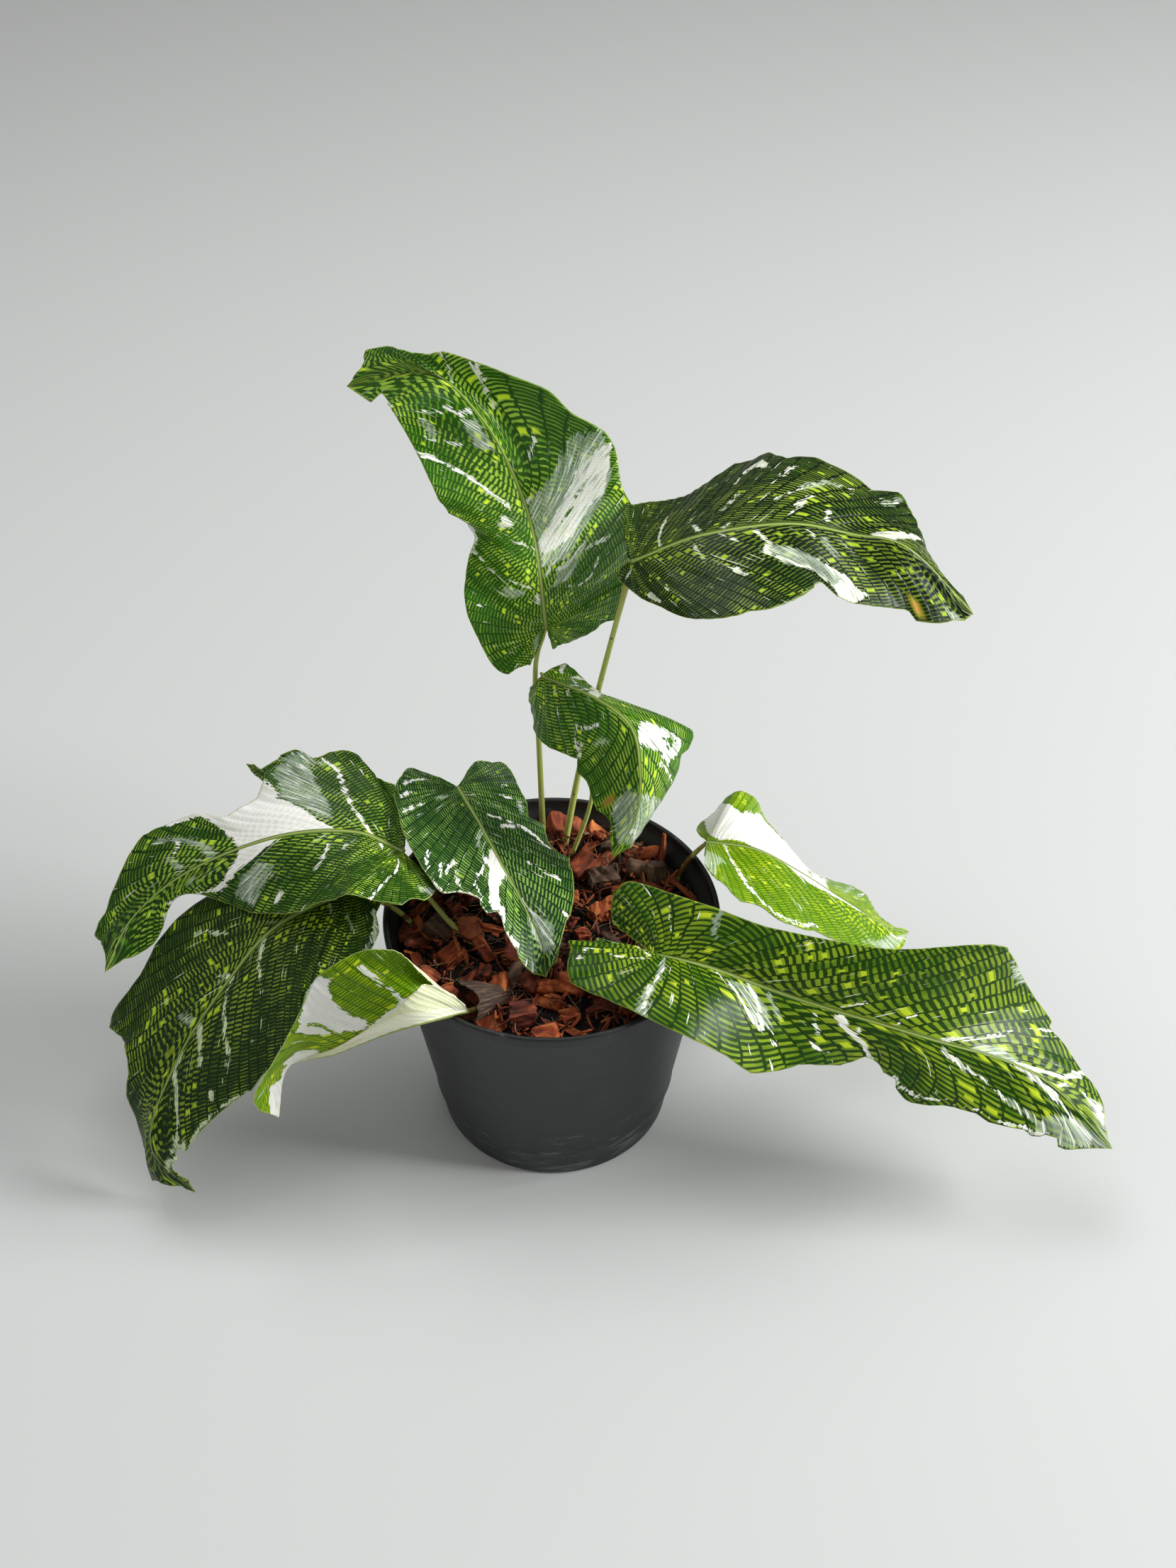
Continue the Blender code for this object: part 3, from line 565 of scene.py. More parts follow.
def rough(points, size, seed=0):
    """Smooth random field with lumps of about the given size, -1 to 1, from numbers hashed cell by cell."""
    q = np.asarray(points, dtype=float) / size
    cell = np.floor(q).astype(np.int64)
    f = q - cell
    f = f * f * (3 - 2 * f)
    total = np.zeros(q.shape[:-1])
    for corner in np.ndindex(2, 2, 2):
        at = cell + np.array(corner)
        h = (at[..., 0] * 73856093) ^ (at[..., 1] * 19349663) ^ (at[..., 2] * 83492791)
        h = h ^ (seed * 97531 + 1013)
        h = ((h ^ (h >> 13)) * 1274126177) & 0xFFFFFFFF
        h = ((h ^ (h >> 15)) * 40503) & 0xFFFF
        weight = np.prod(np.where(np.array(corner) == 1, f, 1 - f), axis=-1)
        total += weight * (h / 32767.5 - 1)
    return total


def mesh_from(name, points, faces):
    mesh = bpy.data.meshes.new(name)
    mesh.from_pydata([tuple(p) for p in points], [], faces)
    mesh.validate()
    mesh.shade_smooth()
    return mesh


def ring_quads(start, count, outward=False):
    """Quads between two rings of points that follow each other, the first from a given point on."""
    pairs = [(start + j, start + (j + 1) % count) for j in range(count)]
    return [(a, a + count, b + count, b) if outward else (a, b, b + count, a + count) for a, b in pairs]


def sheet_quads(rows, columns):
    """Quads of two sheets of points, one below the other, and of the rims that join their sides."""
    grid, below = np.arange(rows * columns).reshape(rows, columns), rows * columns
    quads = []
    for a, b in zip(grid, grid[1:]):
        upper = np.stack([a[:-1], a[1:], b[1:], b[:-1]], axis=1)
        quads += [upper, upper[:, ::-1] + below, [[a[0], b[0], b[0] + below, a[0] + below]],
                  [[b[-1], a[-1], a[-1] + below, b[-1] + below]]]
    return np.concatenate(quads).tolist()


def face_outward(mesh, join=None):
    """Turns every face outward, once the points that lie closer than a given distance are joined."""
    work = bmesh.new()
    work.from_mesh(mesh)
    if join:
        bmesh.ops.remove_doubles(work, verts=work.verts, dist=join)
    bmesh.ops.recalc_face_normals(work, faces=work.faces)
    work.to_mesh(mesh)
    work.free()


def all_points(mesh, what):
    """One vector of every point of a mesh: its place (co) or its normal."""
    values = np.zeros(len(mesh.vertices) * 3)
    mesh.vertices.foreach_get(what, values)
    return values.reshape(-1, 3)


def add_piece(name, mesh, material, *nodes, slot=None):
    """Puts a finished piece in the scene in place of its plain nodes."""
    piece = bpy.data.objects.new(name, mesh)
    bpy.context.scene.collection.objects.link(piece)
    mesh.materials.append(material)
    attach(piece, BODY)
    if nodes:
        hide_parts(*nodes)
    return piece


def give_number(mesh, name, values):
    """Stores one number for each point of a mesh, for its material to read."""
    layer = mesh.attributes.new(name, "FLOAT", "POINT")
    layer.data.foreach_set("value", np.asarray(values, dtype=np.float32).ravel())


def give_map(mesh, name, pairs):
    """Stores a flat pair of coordinates for each point of a mesh."""
    corners = np.zeros(len(mesh.loops), dtype=np.int32)
    mesh.loops.foreach_get("vertex_index", corners)
    layer = mesh.uv_layers.new(name=name)
    layer.data.foreach_set("uv", np.asarray(pairs, dtype=np.float32)[corners].ravel())


# Leaf blades

class Blade:
    """The middle surface of one leaf as a grid: rows from notch to tip, columns from left to right edge."""

    def __init__(self, name):
        data = LEAVES[name]
        fine = along(data["midrib"], np.linspace(0, 1, 400)) * MM
        run = np.concatenate([[0], np.cumsum(np.linalg.norm(np.diff(fine, axis=0), axis=1))])
        self.length = run[-1]
        self.midrib = fine
        self.run = run / run[-1]
        edges = {side: [data["midrib"][0], *data[side], data["midrib"][-1]] for side in ("left", "right")}
        spread = np.mean([np.linalg.norm(np.diff(along(e, np.linspace(0, 1, 200)), axis=0), axis=1).sum()
                          for e in edges.values()]) * MM
        self.spread = 0.5 * (spread + self.length)
        self.lanes = int(round(self.spread / (data["lane"][0] * MM)))
        self.rows = self.lanes * ROWS_PER_LANE
        share = np.linspace(0, 1, self.rows + 1)
        root_share = np.clip(along(data.get("veins", VEIN_ROOT), share), 0, 1)
        root = self.at(root_share)
        ahead = unit(self.at(root_share + 0.03) - self.at(root_share - 0.03))
        out = np.linspace(0, 1, COLUMNS + 1)
        out = 0.75 * out + 0.25 * (1 - np.cos(np.pi * out)) / 2
        halves, chords = {}, {}
        for side, hand in (("left", 1), ("right", -1)):
            chord = along(edges[side], share) * MM - root
            up = unit(np.cross(ahead, chord)) * hand
            width = np.linalg.norm(chord, axis=1)
            arch = data["arch"][0 if hand > 0 else 1]
            lean = np.sum(chord * ahead, axis=1)
            grid = (root[:, None] + chord[:, None] * out[None, :, None]
                    - (ahead * lean[:, None])[:, None] * (out - out ** VEIN_SWEEP)[None, :, None]
                    + (up * (width * arch)[:, None])[:, None] * (4 * out * (1 - out))[None, :, None])
            shift = np.interp(share, *EDGE_SHIFTS.get(name, {}).get(side, ([0, 1], [0, 0]))) * MM
            shift = np.clip(shift, -0.4 * width, 0.4 * width)
            aim = unit(grid[:, -1] - grid[:, COLUMNS * 3 // 4])
            grid += aim[:, None] * (shift[:, None] * out ** 2)[..., None]
            halves[side] = grid
            chords[side] = width
        self.points = np.concatenate([halves["left"][:, ::-1], halves["right"][:, 1:]], axis=1)
        self.share = np.repeat(share[:, None], 2 * COLUMNS + 1, axis=1)
        self.out = np.concatenate([-out[::-1], out[1:]])[None, :].repeat(self.rows + 1, axis=0)
        self.chord = np.where(self.out < 0, chords["left"][:, None], chords["right"][:, None])
        self.root_share = np.repeat(root_share[:, None], 2 * COLUMNS + 1, axis=1)
        self.normal = self.find_normals()

    def at(self, share):
        share = np.clip(share, 0, 1)
        return np.stack([np.interp(share, self.run, self.midrib[:, k]) for k in range(3)], axis=-1)

    def find_normals(self):
        across = np.gradient(self.points, axis=1)
        ahead = np.gradient(self.points, axis=0)
        normal = np.cross(across, ahead)
        good = np.linalg.norm(normal, axis=-1)
        normal = unit(normal)
        for row in (0, -1):
            normal[row] = normal[1 if row == 0 else -2]
        weak = good < 1e-12
        normal[weak] = (0, 0, 1)
        return normal

    def from_rib(self):
        """Distance from the midrib along the side veins."""
        return np.abs(self.out) * self.chord

    def along_vein(self):
        """The same distance, measured over the curved surface."""
        hops = np.linalg.norm(np.diff(self.points, axis=1), axis=2)
        left = np.cumsum(hops[:, :COLUMNS][:, ::-1], axis=1)[:, ::-1]
        right = np.cumsum(hops[:, COLUMNS:], axis=1)
        return np.concatenate([left, 0 * hops[:, :1], right], axis=1)

    def from_edge(self):
        return (1 - np.abs(self.out)) * self.chord


def mark_field(blade, marks, kept):
    """How far inside the nearest mark each point lies, in millimetres, less the parts that stay green."""
    flat_x, flat_y = blade.from_rib() / MM, blade.share * blade.spread / MM
    chords = {"left": blade.chord[:, 0] / MM, "right": blade.chord[:, -1] / MM}
    shares = blade.share[:, 0]

    def depth_in(side, width, outline):
        spots = [(v * np.interp(m, shares, chords[side]), m * blade.spread / MM) for m, v in outline]
        pairs = list(zip(spots, spots[1:] + spots[:1])) if width == 0 else list(zip(spots, spots[1:]))
        nearest = np.full(flat_x.shape, 1000.0)
        inside = np.zeros(flat_x.shape, dtype=bool)
        for (ax, ay), (bx, by) in pairs:
            dx, dy = bx - ax, by - ay
            t = np.clip(((flat_x - ax) * dx + (flat_y - ay) * dy) / max(dx * dx + dy * dy, 1e-9), 0, 1)
            nearest = np.minimum(nearest, np.hypot(flat_x - ax - t * dx, flat_y - ay - t * dy))
            crosses = (ay > flat_y) != (by > flat_y)
            inside ^= crosses & (flat_x < ax + (flat_y - ay) * dx / (dy if abs(dy) > 1e-9 else 1e-9))
        depth = np.where(inside, nearest, -nearest) if width == 0 else max(width, 0.9) * 0.55 - nearest
        return np.where(blade.out <= 0 if side == "left" else blade.out >= 0, depth, -1000.0)

    field = np.full(flat_x.shape, -20.0)
    for mark in marks:
        field = np.maximum(field, depth_in(*mark))
    for mark in kept:
        field = np.minimum(field, -depth_in(*mark))
    return np.clip(field, -20, 20)


def make_blade(name, materials, seed):
    """One leaf: pleated between its side veins, ruffled at the edge, its midrib standing out underneath."""
    blade = Blade(name)
    side = np.sign(blade.out)
    v = np.abs(blade.out)
    # side veins leave the midrib at a slant and straighten on their way out
    lane_at = (blade.share + VEIN_SLANT * (1 - v) ** 2) * blade.lanes
    ends = ease(0, 0.06, blade.share) * ease(0, 0.05, 1 - blade.share)
    flat = np.stack([blade.from_rib(), lane_at * LANE, side * 40 * MM], axis=-1)
    # slow waves, small dents, and the ruffle of the edge
    wave = rough(flat * (0.4, 1.0, 1.0), 15 * MM, seed) * 1.0 * MM
    wave += rough(flat * (0.5, 1.0, 1.0), 6.5 * MM, seed + 1) * 0.45 * MM
    ruffle = rough(flat * (0.3, 1.0, 1.0), 10 * MM, seed + 2) * 1.5 * MM * LEAVES[name]["ruffle"][0] * v ** 3
    pleat = -PLEAT * np.cos(2 * np.pi * lane_at) * ease(0.02, 0.12, v) * (1 - 0.4 * v)
    lift = ends * (wave * ease(0.05, 0.35, v) + ruffle + pleat)
    rib_half = RIB_WIDTH[0] + (RIB_WIDTH[1] - RIB_WIDTH[0]) * blade.root_share
    rib = blade.from_rib() / rib_half
    groove = 0.35 * rib_half * np.exp(-(rib ** 2))
    rib_depth = RIB_DEPTH[0] + (RIB_DEPTH[1] - RIB_DEPTH[0]) * blade.root_share
    under_rib = rib_depth * np.exp(-((rib / 0.75) ** 2)) * ease(0, 0.03, blade.share)
    thick = BLADE_THICK + (EDGE_THICK - BLADE_THICK) * v
    middle = blade.points + blade.normal * lift[..., None]
    top = middle + blade.normal * (thick / 2 - groove)[..., None]
    under = middle - blade.normal * (thick / 2 + under_rib)[..., None]
    rows, columns = v.shape
    points = np.concatenate([top.reshape(-1, 3), under.reshape(-1, 3)])
    mesh = bpy.data.meshes.new(name + "_blade")
    mesh.from_pydata(points.tolist(), [], sheet_quads(rows, columns))

    def both_sheets(values):
        return np.tile(np.asarray(values, dtype=float).ravel(), 2)

    give_number(mesh, "rib", both_sheets(rib))
    give_number(mesh, "edge_mm", both_sheets(blade.from_edge() / MM))
    for field, marks, green in (("white", WHITE, KEPT_GREEN), ("milky", MILKY_AND_SHEEN, KEPT_GREEN),
                                ("scorch", SCORCH, {})):
        depths = mark_field(blade, marks.get(name, []), green.get(name, []))
        give_number(mesh, field + "_mm", both_sheets(depths))
    give_number(mesh, "under", np.repeat([0.0, 1.0], rows * columns))
    net_size = LANE / (LEAVES[name]["lane"][0] * MM)
    # how far a line square to the side veins slips back along them from one vein to the next
    vein = unit(np.gradient(blade.points, axis=1) * side[..., None])
    ahead = np.minimum(np.arange(rows) + 2 * ROWS_PER_LANE, rows - 1)
    behind = np.maximum(np.arange(rows) - 2 * ROWS_PER_LANE, 0)
    per_lane = ROWS_PER_LANE / (ahead - behind)
    step = (blade.points[ahead] - blade.points[behind]) * per_lane[:, None, None]
    path = blade.along_vein()
    growth = (path[ahead] - path[behind]) * per_lane[:, None]
    lean = (np.sum(step * vein, axis=-1) - growth) / MM * net_size * BAR_SQUARE
    lean[:, COLUMNS] = 0.5 * (lean[:, COLUMNS - 1] + lean[:, COLUMNS + 1])
    give_number(mesh, "lean", both_sheets(lean))
    # each half of each leaf lies on its own part of the net, so that no two are alike
    lanes_x = path / MM * net_size + 3
    lanes_y = lane_at * LANE / MM + np.where(side >= 0, 400, 0) + 37 * seed
    give_map(mesh, "lanes", np.stack([both_sheets(lanes_x), both_sheets(lanes_y)], axis=1))
    mesh.shade_smooth()
    face_outward(mesh, join=0.01 * MM)
    slot = "leaf_cream" if name == "leaf_cream_young" else "leaf_green"
    add_piece(name + "_blade", mesh, materials[GREENS[name]], name, slot=slot)


def blade_material(name, ground, ground_light, bar_dull, bar_mid, bar_bright, under, rarity, streaky,
                   under_bar="#7f9a5c", white_part="#fbfcf5", width=0.09, bar_mm=1.25):
    """Leaf skin: waxy cuticle over a net of pale bars between dark veins, white where no green has grown."""
    material, add, skin = new_material(name)
    lanes = add("UVMap", uv_map="lanes")
    read = {n: add("Attribute", attribute_name=n).outputs["Fac"]
            for n in ("rib", "edge_mm", "white_mm", "milky_mm", "scorch_mm", "under", "lean")}
    step = dict(interpolation_type="SMOOTHSTEP")
    flat = dict(noise_dimensions="2D")
    mix = dict(data_type="RGBA")

    # the net: lanes between side veins, cut into bars nearly square to them, each of a random width and tone
    wander = add("TexNoise", {"Vector": lanes, "Scale": 0.25, "Detail": 2.0}, **flat)
    centred = add("VectorMath SUBTRACT", [wander.outputs["Color"], (0.5, 0.5, 0.5)])
    shifted = add("VectorMath MULTIPLY_ADD", [centred, (0.5, 0.5, 0), lanes])
    split = add("SeparateXYZ", [shifted])
    out_mm, on_mm = split.outputs[0], split.outputs[1]
    row_at = add("Math DIVIDE", [on_mm, LANE / MM])
    row = add("Math FLOOR", [row_at])
    in_row = add("Math FRACT", [row_at])
    off_middle = add("Math SUBTRACT", [in_row, 0.5])
    off_middle = add("Math ABSOLUTE", [off_middle])
    to_vein = add("Math SUBTRACT", [0.5, off_middle])
    slip = add("TexWhiteNoise", {"W": row}, noise_dimensions="1D").outputs["Value"]
    leaned = add("Math MULTIPLY_ADD", [in_row, read["lean"], out_mm])
    bar_at = add("Math DIVIDE", [leaned, bar_mm])
    bar_at = add("Math ADD", [slip, bar_at])

    def cells(at, seed):
        """How far a spot is off the middle of its cell, and the cell's four random numbers."""
        number = add("Math FLOOR", [at])
        inside = add("Math FRACT", [at])
        inside = add("Math SUBTRACT", [inside, 0.5])
        off = add("Math ABSOLUTE", [inside])
        spot = add("CombineXYZ", [number, row, seed])
        chance = add("TexWhiteNoise", {"Vector": spot}, noise_dimensions="3D")
        return off, chance.outputs["Value"], *add("SeparateColor", [chance.outputs["Color"]]).outputs

    def ticks(off, half, edge, shorter, end):
        """Bars of a half width, soft at their edge, that stop short of the veins by a random length."""
        over = add("Math SUBTRACT", [half, off])
        bar = add("MapRange", [over, *edge], **step)
        reach = add("Math MULTIPLY_ADD", [*shorter, to_vein])
        length = add("MapRange", [reach, *end], **step)
        return add("Math MULTIPLY", [bar, length])

    # noise drawn out along the lanes: brighter bands, torn edges of the white, loose flecks and thin streaks
    stretched = []
    for stretch, detail, coarse in (((0.05, 0.07, 0), 2.0, 0.5), ((0.22, 1.1, 0), 3.0, 0.6),
                                    ((0.07, 0.75, 0), 4.0, 0.6), ((0.09, 1.1, 0), 4.0, 0.65)):
        at = add("VectorMath MULTIPLY", [lanes, stretch])
        look = {"Vector": at, "Scale": 1.0, "Detail": detail, "Roughness": coarse}
        stretched.append(add("TexNoise", look, **flat))
    band, torn, streak, thin = stretched
    near_rib = add("MapRange", [out_mm, 34.0, 6.0, -0.07, 0.09])
    band = add("Math ADD", [band, near_rib])
    band = add("MapRange", [band, 0.38, 0.66])

    off, chance, _, chance_short, chance_tone = cells(bar_at, 1.0)
    half = add("Math MULTIPLY_ADD", [chance, 0.14, width])
    half = add("Math MULTIPLY_ADD", [band, 0.07, half])
    bar = ticks(off, half, (-0.045, 0.06), (chance_short, -0.12), (-0.02, 0.06))
    tone = add("Math MULTIPLY_ADD", [chance_tone, 0.7, band])
    tone = add("MapRange", [tone, 0.3, 1.25])
    bar_colour = add("Mix", {0: tone, 6: bar_dull, 7: bar_mid}, **mix)

    # here and there two bars have run together into one glowing block
    double_at = add("Math MULTIPLY", [bar_at, 0.5])
    off, chance_there, chance_wide, chance_short, _ = cells(double_at, 9.0)
    half = add("Math MULTIPLY_ADD", [chance_wide, 0.12, 0.1])
    block = ticks(off, half, (-0.03, 0.05), (chance_short, -0.3), (0.02, 0.1))
    wanted = add("Math MULTIPLY_ADD", [band, 0.34, chance_there])
    wanted = add("MapRange", [wanted, rarity, rarity + 0.04])
    block = add("Math MULTIPLY", [block, wanted])

    shade = add("TexNoise", {"Vector": lanes, "Scale": 0.5, "Detail": 4.0, "Roughness": 0.65}, **flat)
    veins = add("MapRange", [to_vein, 0.07, 0.0, 0.0, 0.6])
    green = ground
    for amount, over in ((shade, ground_light), (veins, ground), (bar, bar_colour), (block, bar_bright)):
        green = add("Mix", {0: amount, 6: green, 7: over}, **mix)

    # white follows the side veins, torn at its edges cell by cell, and thin loose flecks run beside it
    torn = add("Math SUBTRACT", [torn, 0.5])
    jag = add("Math SUBTRACT", [chance, 0.5])
    jag = add("Math MULTIPLY_ADD", [jag, 0.9, read["white_mm"]])
    white_edge = add("Math MULTIPLY_ADD", [torn, 3.2, jag])
    white = add("MapRange", [white_edge, -0.12, 0.14], **step)
    # milky patches: partly a thin white layer over the green, partly painted sheen where the waxy skin catches
    # the light
    milky_sheen_edge = add("Math MULTIPLY_ADD", [torn, 6.0, read["milky_mm"]])
    milky = add("MapRange", [milky_sheen_edge, -0.2, 0.3], **step)
    fleck = add("MapRange", [streak, 0.70, 0.72], **step)
    white = add("Math MAXIMUM", [white, fleck])
    solid = add("MapRange", [thin, 0.36, 0.48, 1.0 - streaky, 1.0])
    white = add("Math MULTIPLY", [white, solid])
    scraped = add("MapRange", [thin, 0.58, 0.64], **step)
    scraped = add("Math MULTIPLY", [scraped, milky])
    white = add("Math MAXIMUM", [white, scraped])
    faint = add("Math MULTIPLY", [bar, shade])
    white_colour = add("Mix", {0: faint, 6: white_part, 7: "#dde3cb"}, **mix)
    cloudy = add("MapRange", [thin, 0.36, 0.6, 0.2, 0.75])
    milk_and_sheen = add("Math MULTIPLY", [milky, cloudy])

    # scorched spots: tan and dead in the middle, yellow round it
    halo = add("MapRange", [read["scorch_mm"], -2.2, -0.2, 0.0, 0.7])
    dead = add("MapRange", [read["scorch_mm"], -0.3, 0.3])

    # the midrib and the thin hard margin
    rib = add("MapRange", [read["rib"], 1.15, 0.85], **step)
    core = add("MapRange", [read["rib"], 0.85, 0.1])
    rib_colour = add("Mix", {0: core, 6: "#4d6d22", 7: "#a8b765"}, **mix)
    margin = add("MapRange", [read["edge_mm"], 0.55, 0.2, 0.0, 0.5])

    # the upper side, from the green up: milky parts, partly a thin white layer and partly painted sheen, then
    # white, yellow and dead parts, midrib, margin
    upper = green
    for amount, over in ((milk_and_sheen, "#bccbb8"), (white, white_colour), (halo, "#b3a62a"),
                         (dead, "#b98448"), (rib, rib_colour), (margin, "#9fb04f")):
        upper = add("Mix", {0: amount, 6: upper, 7: over}, **mix)

    # underneath, the same net shows faintly through a dull bloom
    bloom = under
    for amount, over in ((bar, under_bar), (white, "#eeefd6"), (rib, "#9fae62")):
        bloom = add("Mix", {0: amount, 6: bloom, 7: over}, **mix)
    colour = add("Mix", {0: read["under"], 6: upper, 7: bloom}, **mix)

    worn = add("MapRange", [shade, 0.3, 0.7, 0.3, 0.42])
    dull = add("Math MULTIPLY_ADD", [read["under"], 0.2, worn])
    sunk = add("MapRange", [to_vein, 0.0, 0.14], **step)
    height = add("Math MULTIPLY_ADD", [bar, 0.35, sunk])
    plain = add("MapRange", [white, 0.0, 1.0, 1.0, 0.25])
    height = add("Math MULTIPLY", [height, plain])
    height = add("Math MULTIPLY_ADD", [shade, 0.8, height])
    bump = add("Bump", {"Height": height, "Strength": 0.45, "Distance": 0.12 * MM})
    feed(skin, {"Base Color": colour, "Roughness": dull, "Normal": bump, "IOR": 1.45,
                "Specular IOR Level": 0.21, "Subsurface Weight": 0.4, "Subsurface Radius": (0.7, 1.0, 0.2),
                "Subsurface Scale": 0.8 * MM})
    return material


# Stems

def stem_seat(leaf):
    """The underside of the notch of a blade, where its stem runs into the midrib, in millimetres."""
    data = LEAVES[leaf]
    notch = data["midrib"][0]
    ahead = unit(along(data["midrib"], np.array([0.02]))[0] - notch)
    up = unit(np.cross(ahead, data["left"][0] - data["right"][0]))
    return notch - up * 0.5 + ahead * 0.4


def tube(keys, radii, rings, sides):
    """Points and faces of a closed tube along a smooth curve; radii is a function of the share along it."""
    shares = np.linspace(0, 1, rings)
    centres = along(keys, shares)
    ahead = unit(np.gradient(centres, axis=0))
    side = unit(np.cross(ahead[0], (0.3, 0.9, 0.2)))
    turn = np.linspace(0, 2 * np.pi, sides, endpoint=False)
    points = []
    for i in range(rings):
        side = unit(side - ahead[i] * side.dot(ahead[i]))
        ring = np.cos(turn)[:, None] * side + np.sin(turn)[:, None] * np.cross(ahead[i], side)
        points.append(centres[i] + radii(shares[i]) * ring)
    points = np.concatenate(points + [centres[:1], centres[-1:]])
    last = (rings - 1) * sides
    faces = [quad for start in range(0, last, sides) for quad in ring_quads(start, sides)]
    for j in range(sides):
        faces.append((j, rings * sides, (j + 1) % sides))
        faces.append((last + j, last + (j + 1) % sides, rings * sides + 1))
    return points, faces


def make_stem(leaf, material):
    """A petiole: sheathed and thicker at the mix, with a smooth swelling under the blade."""
    route = LEAVES[leaf]["stem"]
    foot = route[0] - unit(route[1] - route[0]) * STEM_FOOT
    keys = np.array([foot, *route, stem_seat(leaf)]) * MM
    length = np.linalg.norm(np.diff(keys, axis=0), axis=1).sum()
    radius = LEAVES[leaf]["radius"][0] * MM

    def radii(share):
        plain = radius * (1 - (1 - STEM_TIP_SHARE) * share)
        sheath = 1 + 0.25 * (1 - ease(0, 0.25, share))
        swelling = 1 + 0.16 * math.exp(-(((1 - share) * length - 9 * MM) / (6 * MM)) ** 2)
        return plain * sheath * swelling

    rings, sides = max(24, int(length / (2.2 * MM))), 20
    name = leaf.replace("leaf_", "stem_")
    mesh = mesh_from(name + "_petiole", *tube(keys, radii, rings, sides))
    share = np.concatenate([np.repeat(np.linspace(0, 1, rings), sides), [0.0, 1.0]])
    give_number(mesh, "along_mm", share * length / MM)
    give_number(mesh, "to_blade_mm", (1 - share) * length / MM)
    add_piece(name + "_petiole", mesh, material, name, slot="stem_green")


def petiole_material():
    """Fresh petiole: a smooth green skin with fine lengthwise fibres, browned towards the mix."""
    material, add, skin = new_material("fresh_petiole_skin")
    place = add("TexCoord").outputs["Object"]
    up, down = (add("Attribute", attribute_name=n).outputs["Fac"] for n in ("along_mm", "to_blade_mm"))
    fibres_at = add("VectorMath MULTIPLY", [place, (2600, 2600, 90)])
    fibres = add("TexNoise", {"Vector": fibres_at, "Scale": 1.0, "Detail": 3.0})
    blotches = add("TexNoise", {"Vector": place, "Scale": 160.0, "Detail": 4.0, "Roughness": 0.6})
    green = add("Mix", {0: fibres, 6: "#a0b244", 7: "#d2d882"}, data_type="RGBA")
    foot = add("MapRange", [up, 48.0, 9.0, 0.0, 0.26])
    old = add("Math ADD", [blotches, foot])
    brown = add("MapRange", [old, 0.66, 0.72], interpolation_type="SMOOTHSTEP")
    colour = add("Mix", {0: brown, 6: green, 7: "#6b4a22"}, data_type="RGBA")
    joint = add("MapRange", [down, 20.0, 6.0, 0.0, 0.5])
    colour = add("Mix", {0: joint, 6: colour, 7: "#9c7c2c"}, data_type="RGBA")
    gloss = add("MapRange", [fibres, 0.0, 1.0, 0.32, 0.5])
    bump = add("Bump", {"Height": fibres, "Strength": 0.4, "Distance": 0.08 * MM})
    feed(skin, {"Base Color": colour, "Roughness": gloss, "Normal": bump})
    return material


# Pot

def wall_radius(height):
    return BASE_RADIUS + (SHOULDER_RADIUS - BASE_RADIUS) * height / (POT_HEIGHT - RIM_DEPTH)


